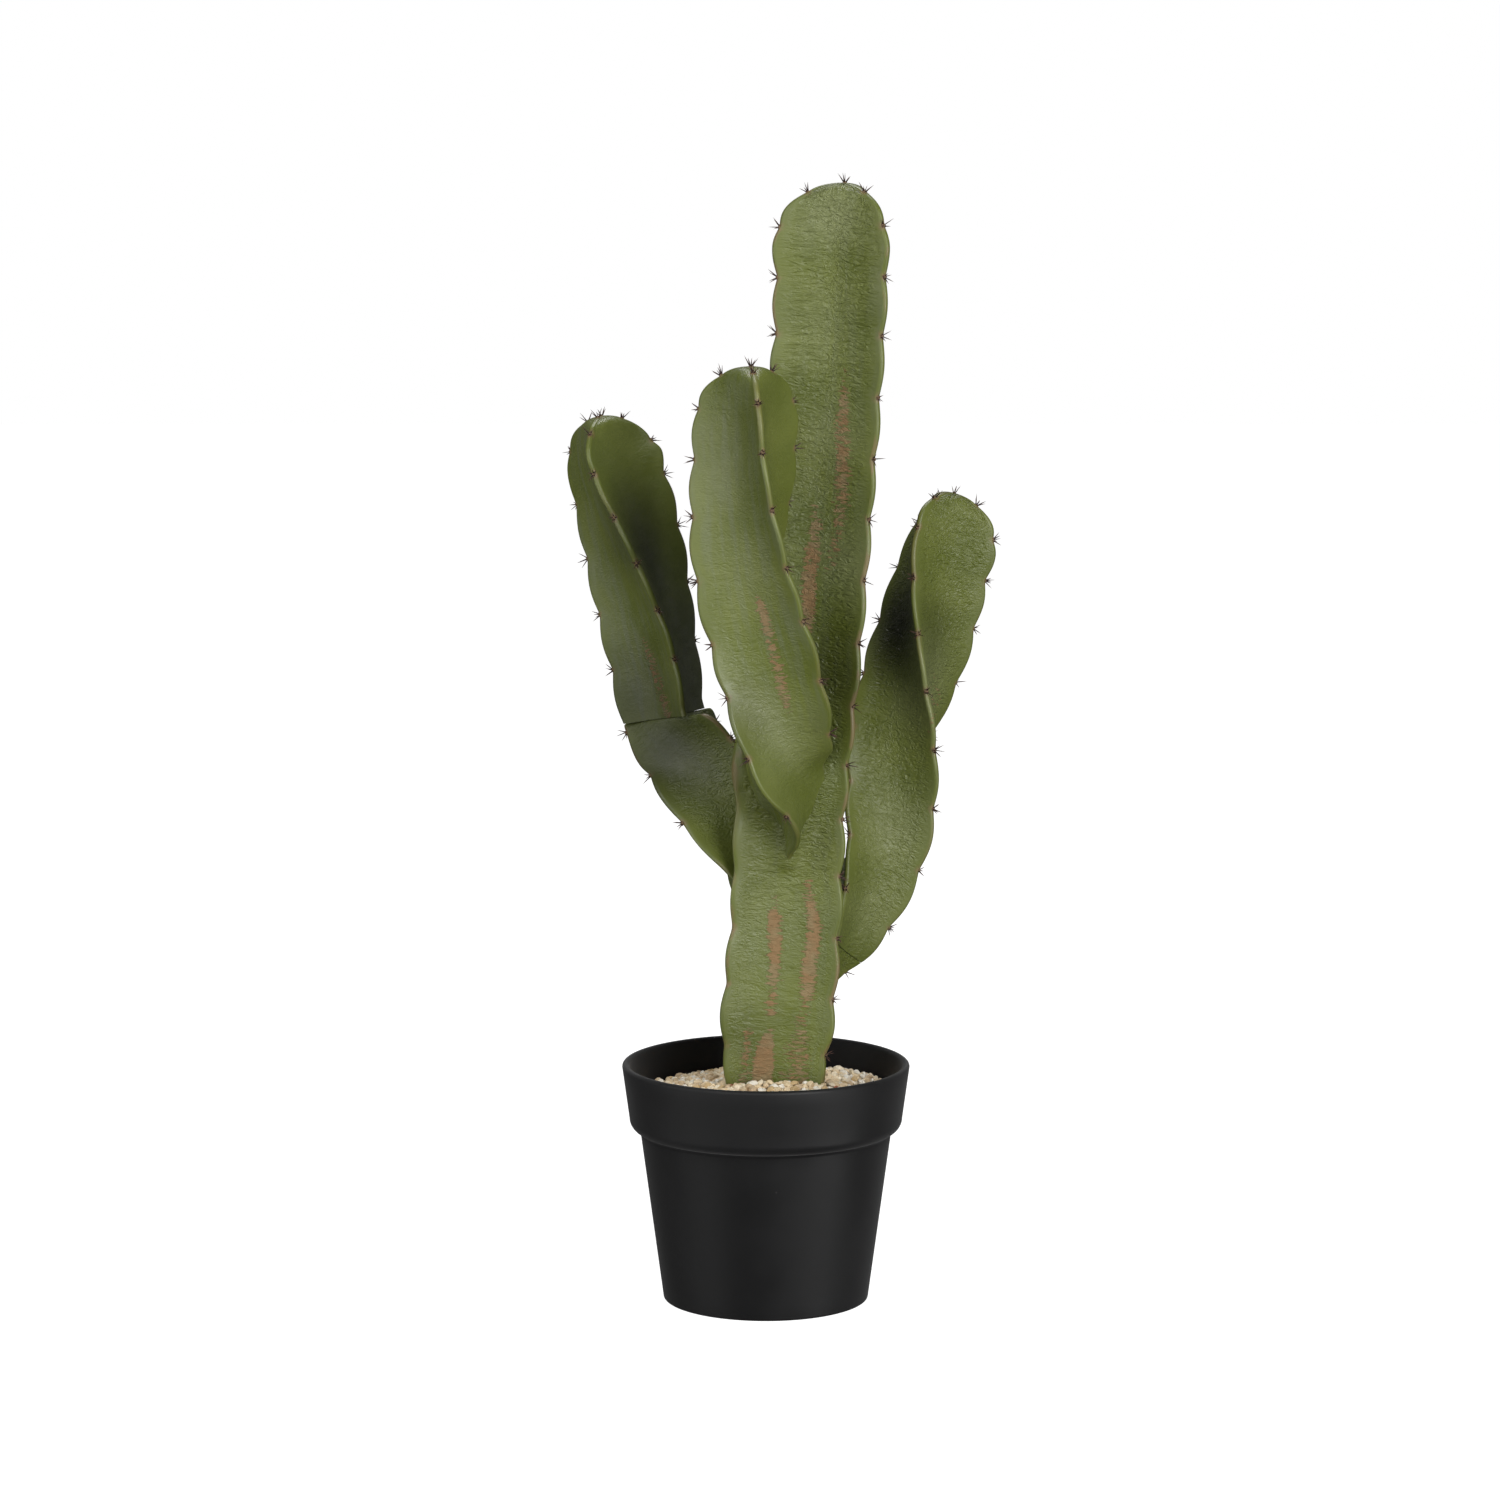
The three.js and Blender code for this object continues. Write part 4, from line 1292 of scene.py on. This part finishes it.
def grow_fillet(piece, tree, radius):
    """Raises the skin near another stem, so that the two flow into each other."""
    points = mesh_points(piece.data)
    normals = vertex_vectors(piece.data, "normal")
    for index in range(len(points)):
        nearest, _, _, gap = tree.find_nearest(Vector(points[index]) * MM, radius * MM)
        if nearest is not None:
            points[index] += normals[index] * radius / 2 * (1 - gap / MM / radius) ** 2
    move_points(piece.data, points)


def tree_of(piece):
    return BVHTree.FromObject(piece, bpy.context.evaluated_depsgraph_get())


def dress(piece, node):
    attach(piece, "root")
    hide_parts(node)


# Strength of roughness, bloom with painted sheen, dry patches and the light strip on each stem
SKIN_AMOUNTS = {
    "trunk": (1, 0.25, 0.6, 0.25),
    "front_arm": (0.4, 0.5, 0.15, 0.5),
    "left_arm": (0.25, 0.5, 0.1, 0.3),
    "right_arm": (0.8, 0.12, 0.2, 0.4),
}
# A tuft is left out where the join is softened by this share or more
JOIN_BARE = 0.5
SPINE_SEED = 40
STONE_SEED = 60

skin = skin_material()
trunk = trunk_object("trunk_stem", TRUNK_RELIEFS)
soften_join(trunk)
front_arm = stem_object("front_arm_stem", front_stem, FRONT_RELIEF)
left_arm = stem_object("left_arm_stem", left_stem, LEFT_RELIEF)
right_arm = stem_object("right_arm_stem", right_stem, RIGHT_RELIEF, start=RIGHT_SEAM)
for arm in (front_arm, right_arm):
    boolean(arm, "DIFFERENCE", trunk_object("cutter", grow=SEAM_GAP))
trunk_tufts = trunk_stem.tufts() + elbow_stem.tufts() + right_stem.tufts(0, RIGHT_SEAM - SEAM_CLEAR)
trunk_tufts = [tuft for tuft in trunk_tufts if place_share(np.array(tuft[:1]), JOINS)[0] < JOIN_BARE]
stems = {
    "trunk": (trunk, trunk_tufts),
    "front_arm": (front_arm, front_stem.tufts()),
    "left_arm": (left_arm, left_stem.tufts()),
    "right_arm": (right_arm, right_stem.tufts(RIGHT_SEAM + SEAM_CLEAR)),
}
trees = {node: tree_of(piece) for node, (piece, _) in stems.items()}
grow_fillet(trunk, trees["front_arm"], FILLET)
for number, (node, (piece, tufts)) in enumerate(stems.items()):
    clean_cuts(piece.data)
    fill_cut_values(piece.data)
    mark_skin(piece, tufts, *SKIN_AMOUNTS[node])
    dress(piece, node)
    neighbours = [tree for other, tree in trees.items() if other != node]
    dress(spines_object(node + "_spines", tufts, neighbours, SPINE_SEED + number), node)

dress(pot_object(), "pot")
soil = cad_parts["soil"].data
soil.materials.clear()
earth = crumbly_material("potting_soil", 420, 5, (0.35, 0.7), SOIL_DARK, SOIL_LIGHT, 0.002)
soil.materials.append(earth)
bed = bed_object()
boolean(bed, "DIFFERENCE", stem_object("bed_cutter", trunk_stem, grow=SEAM_GAP, end=BED_CUT_LENGTH))
bed.data.materials.append(bed_material())
bed.data.shade_smooth()
dress(bed, "gravel")
for number, (name, lift) in enumerate(STONE_LAYERS):
    dress(stones_object(name, lift, trees["trunk"], STONE_SEED + number), "gravel")

# Studio: a pale table that lets the light of the low lamps through, a white surround and soft lamps
FLOOR_HALF = 6000
corners = [(x * FLOOR_HALF, y * FLOOR_HALF, 0) for x, y in ((-1, -1), (1, -1), (1, 1), (-1, 1))]
floor = make_object("studio_floor", make_mesh("studio_floor", corners, [(0, 1, 2, 3)]))
floor.data.materials.append(floor_material())
floor.visible_diffuse = False
floor.visible_glossy = False
floor.visible_shadow = False

# The surround is white to the camera, gives little light, and is mirrored only behind the plant,
# from one to the other of these shares of a ray's direction to the back
AMBIENT = 0.02
BACKDROP_MIRRORED = 0.1
BACKDROP_EDGES = (0.2, 0.7)
world = Graph(bpy.data.worlds.new("studio"), "Background")
bpy.context.scene.world = world.owner
view_ray = world.node("ShaderNodeLightPath", {}, "Is Camera Ray")
mirror_ray = world.node("ShaderNodeLightPath", {}, "Is Glossy Ray")
direction = world.node("ShaderNodeTexCoord", {}, "Generated")
behind = world.node("ShaderNodeSeparateXYZ", {0: direction}, 1)
mirrored = world.times(mirror_ray, world.ramp(behind, *BACKDROP_EDGES, 0.0, BACKDROP_MIRRORED))
strength = world.math("MAXIMUM", view_ray, world.math("MAXIMUM", mirrored, AMBIENT))
world.finish(Strength=strength, Color=WHITE)

# Soft round lamps aimed at the middle of the plant, in metres: azimuth from the camera's side
# towards +X and height above the level of the aim in degrees, and power in watts
AIM = Vector((0, 0, 0.33))
LAMP_DISTANCE = 2
LAMP_SIZE = 0.9
LAMPS = {
    "key": (30, 5, 21),
    "key_high": (30, 38, 14),
    "front_left": (-20, 5, 6.5),
    "left": (-45, 5, 2),
    "left_high": (-45, 38, 10),
    "far_left": (-75, 5, 5),
    "low_left": (-60, -25, 2.5),
    "low_right": (60, -25, 6),
    "back_right": (110, 5, 1),
    "back_high": (180, 60, 16),
}
for name, (azimuth, height, power) in LAMPS.items():
    lamp = bpy.data.lights.new(name, "AREA")
    lamp.shape = "DISK"
    lamp.size = LAMP_SIZE
    lamp.energy = power
    across, up = math.radians(azimuth), math.radians(height)
    ray = Vector((math.sin(across) * math.cos(up), -math.cos(across) * math.cos(up), math.sin(up)))
    holder = make_object(name, lamp)
    holder.location = AIM + ray * LAMP_DISTANCE
    holder.rotation_mode = "QUATERNION"
    holder.rotation_quaternion = (-ray).to_track_quat("-Z", "Y")

# Camera at the photograph's angle: its place in metres, its pitch down in degrees, and its lens
CAMERA_PLACE = (-0.0084, -2.598, 0.666)
CAMERA_PITCH = 8.15
CAMERA_LENS = 120
CAMERA_SENSOR = 36
camera = make_object("camera", bpy.data.cameras.new("camera"))
camera.data.lens = CAMERA_LENS
camera.data.sensor_width = CAMERA_SENSOR
camera.location = CAMERA_PLACE
camera.rotation_euler = (math.radians(90 - CAMERA_PITCH), 0, 0)
bpy.context.scene.camera = camera
bpy.context.scene.view_settings.view_transform = "Standard"
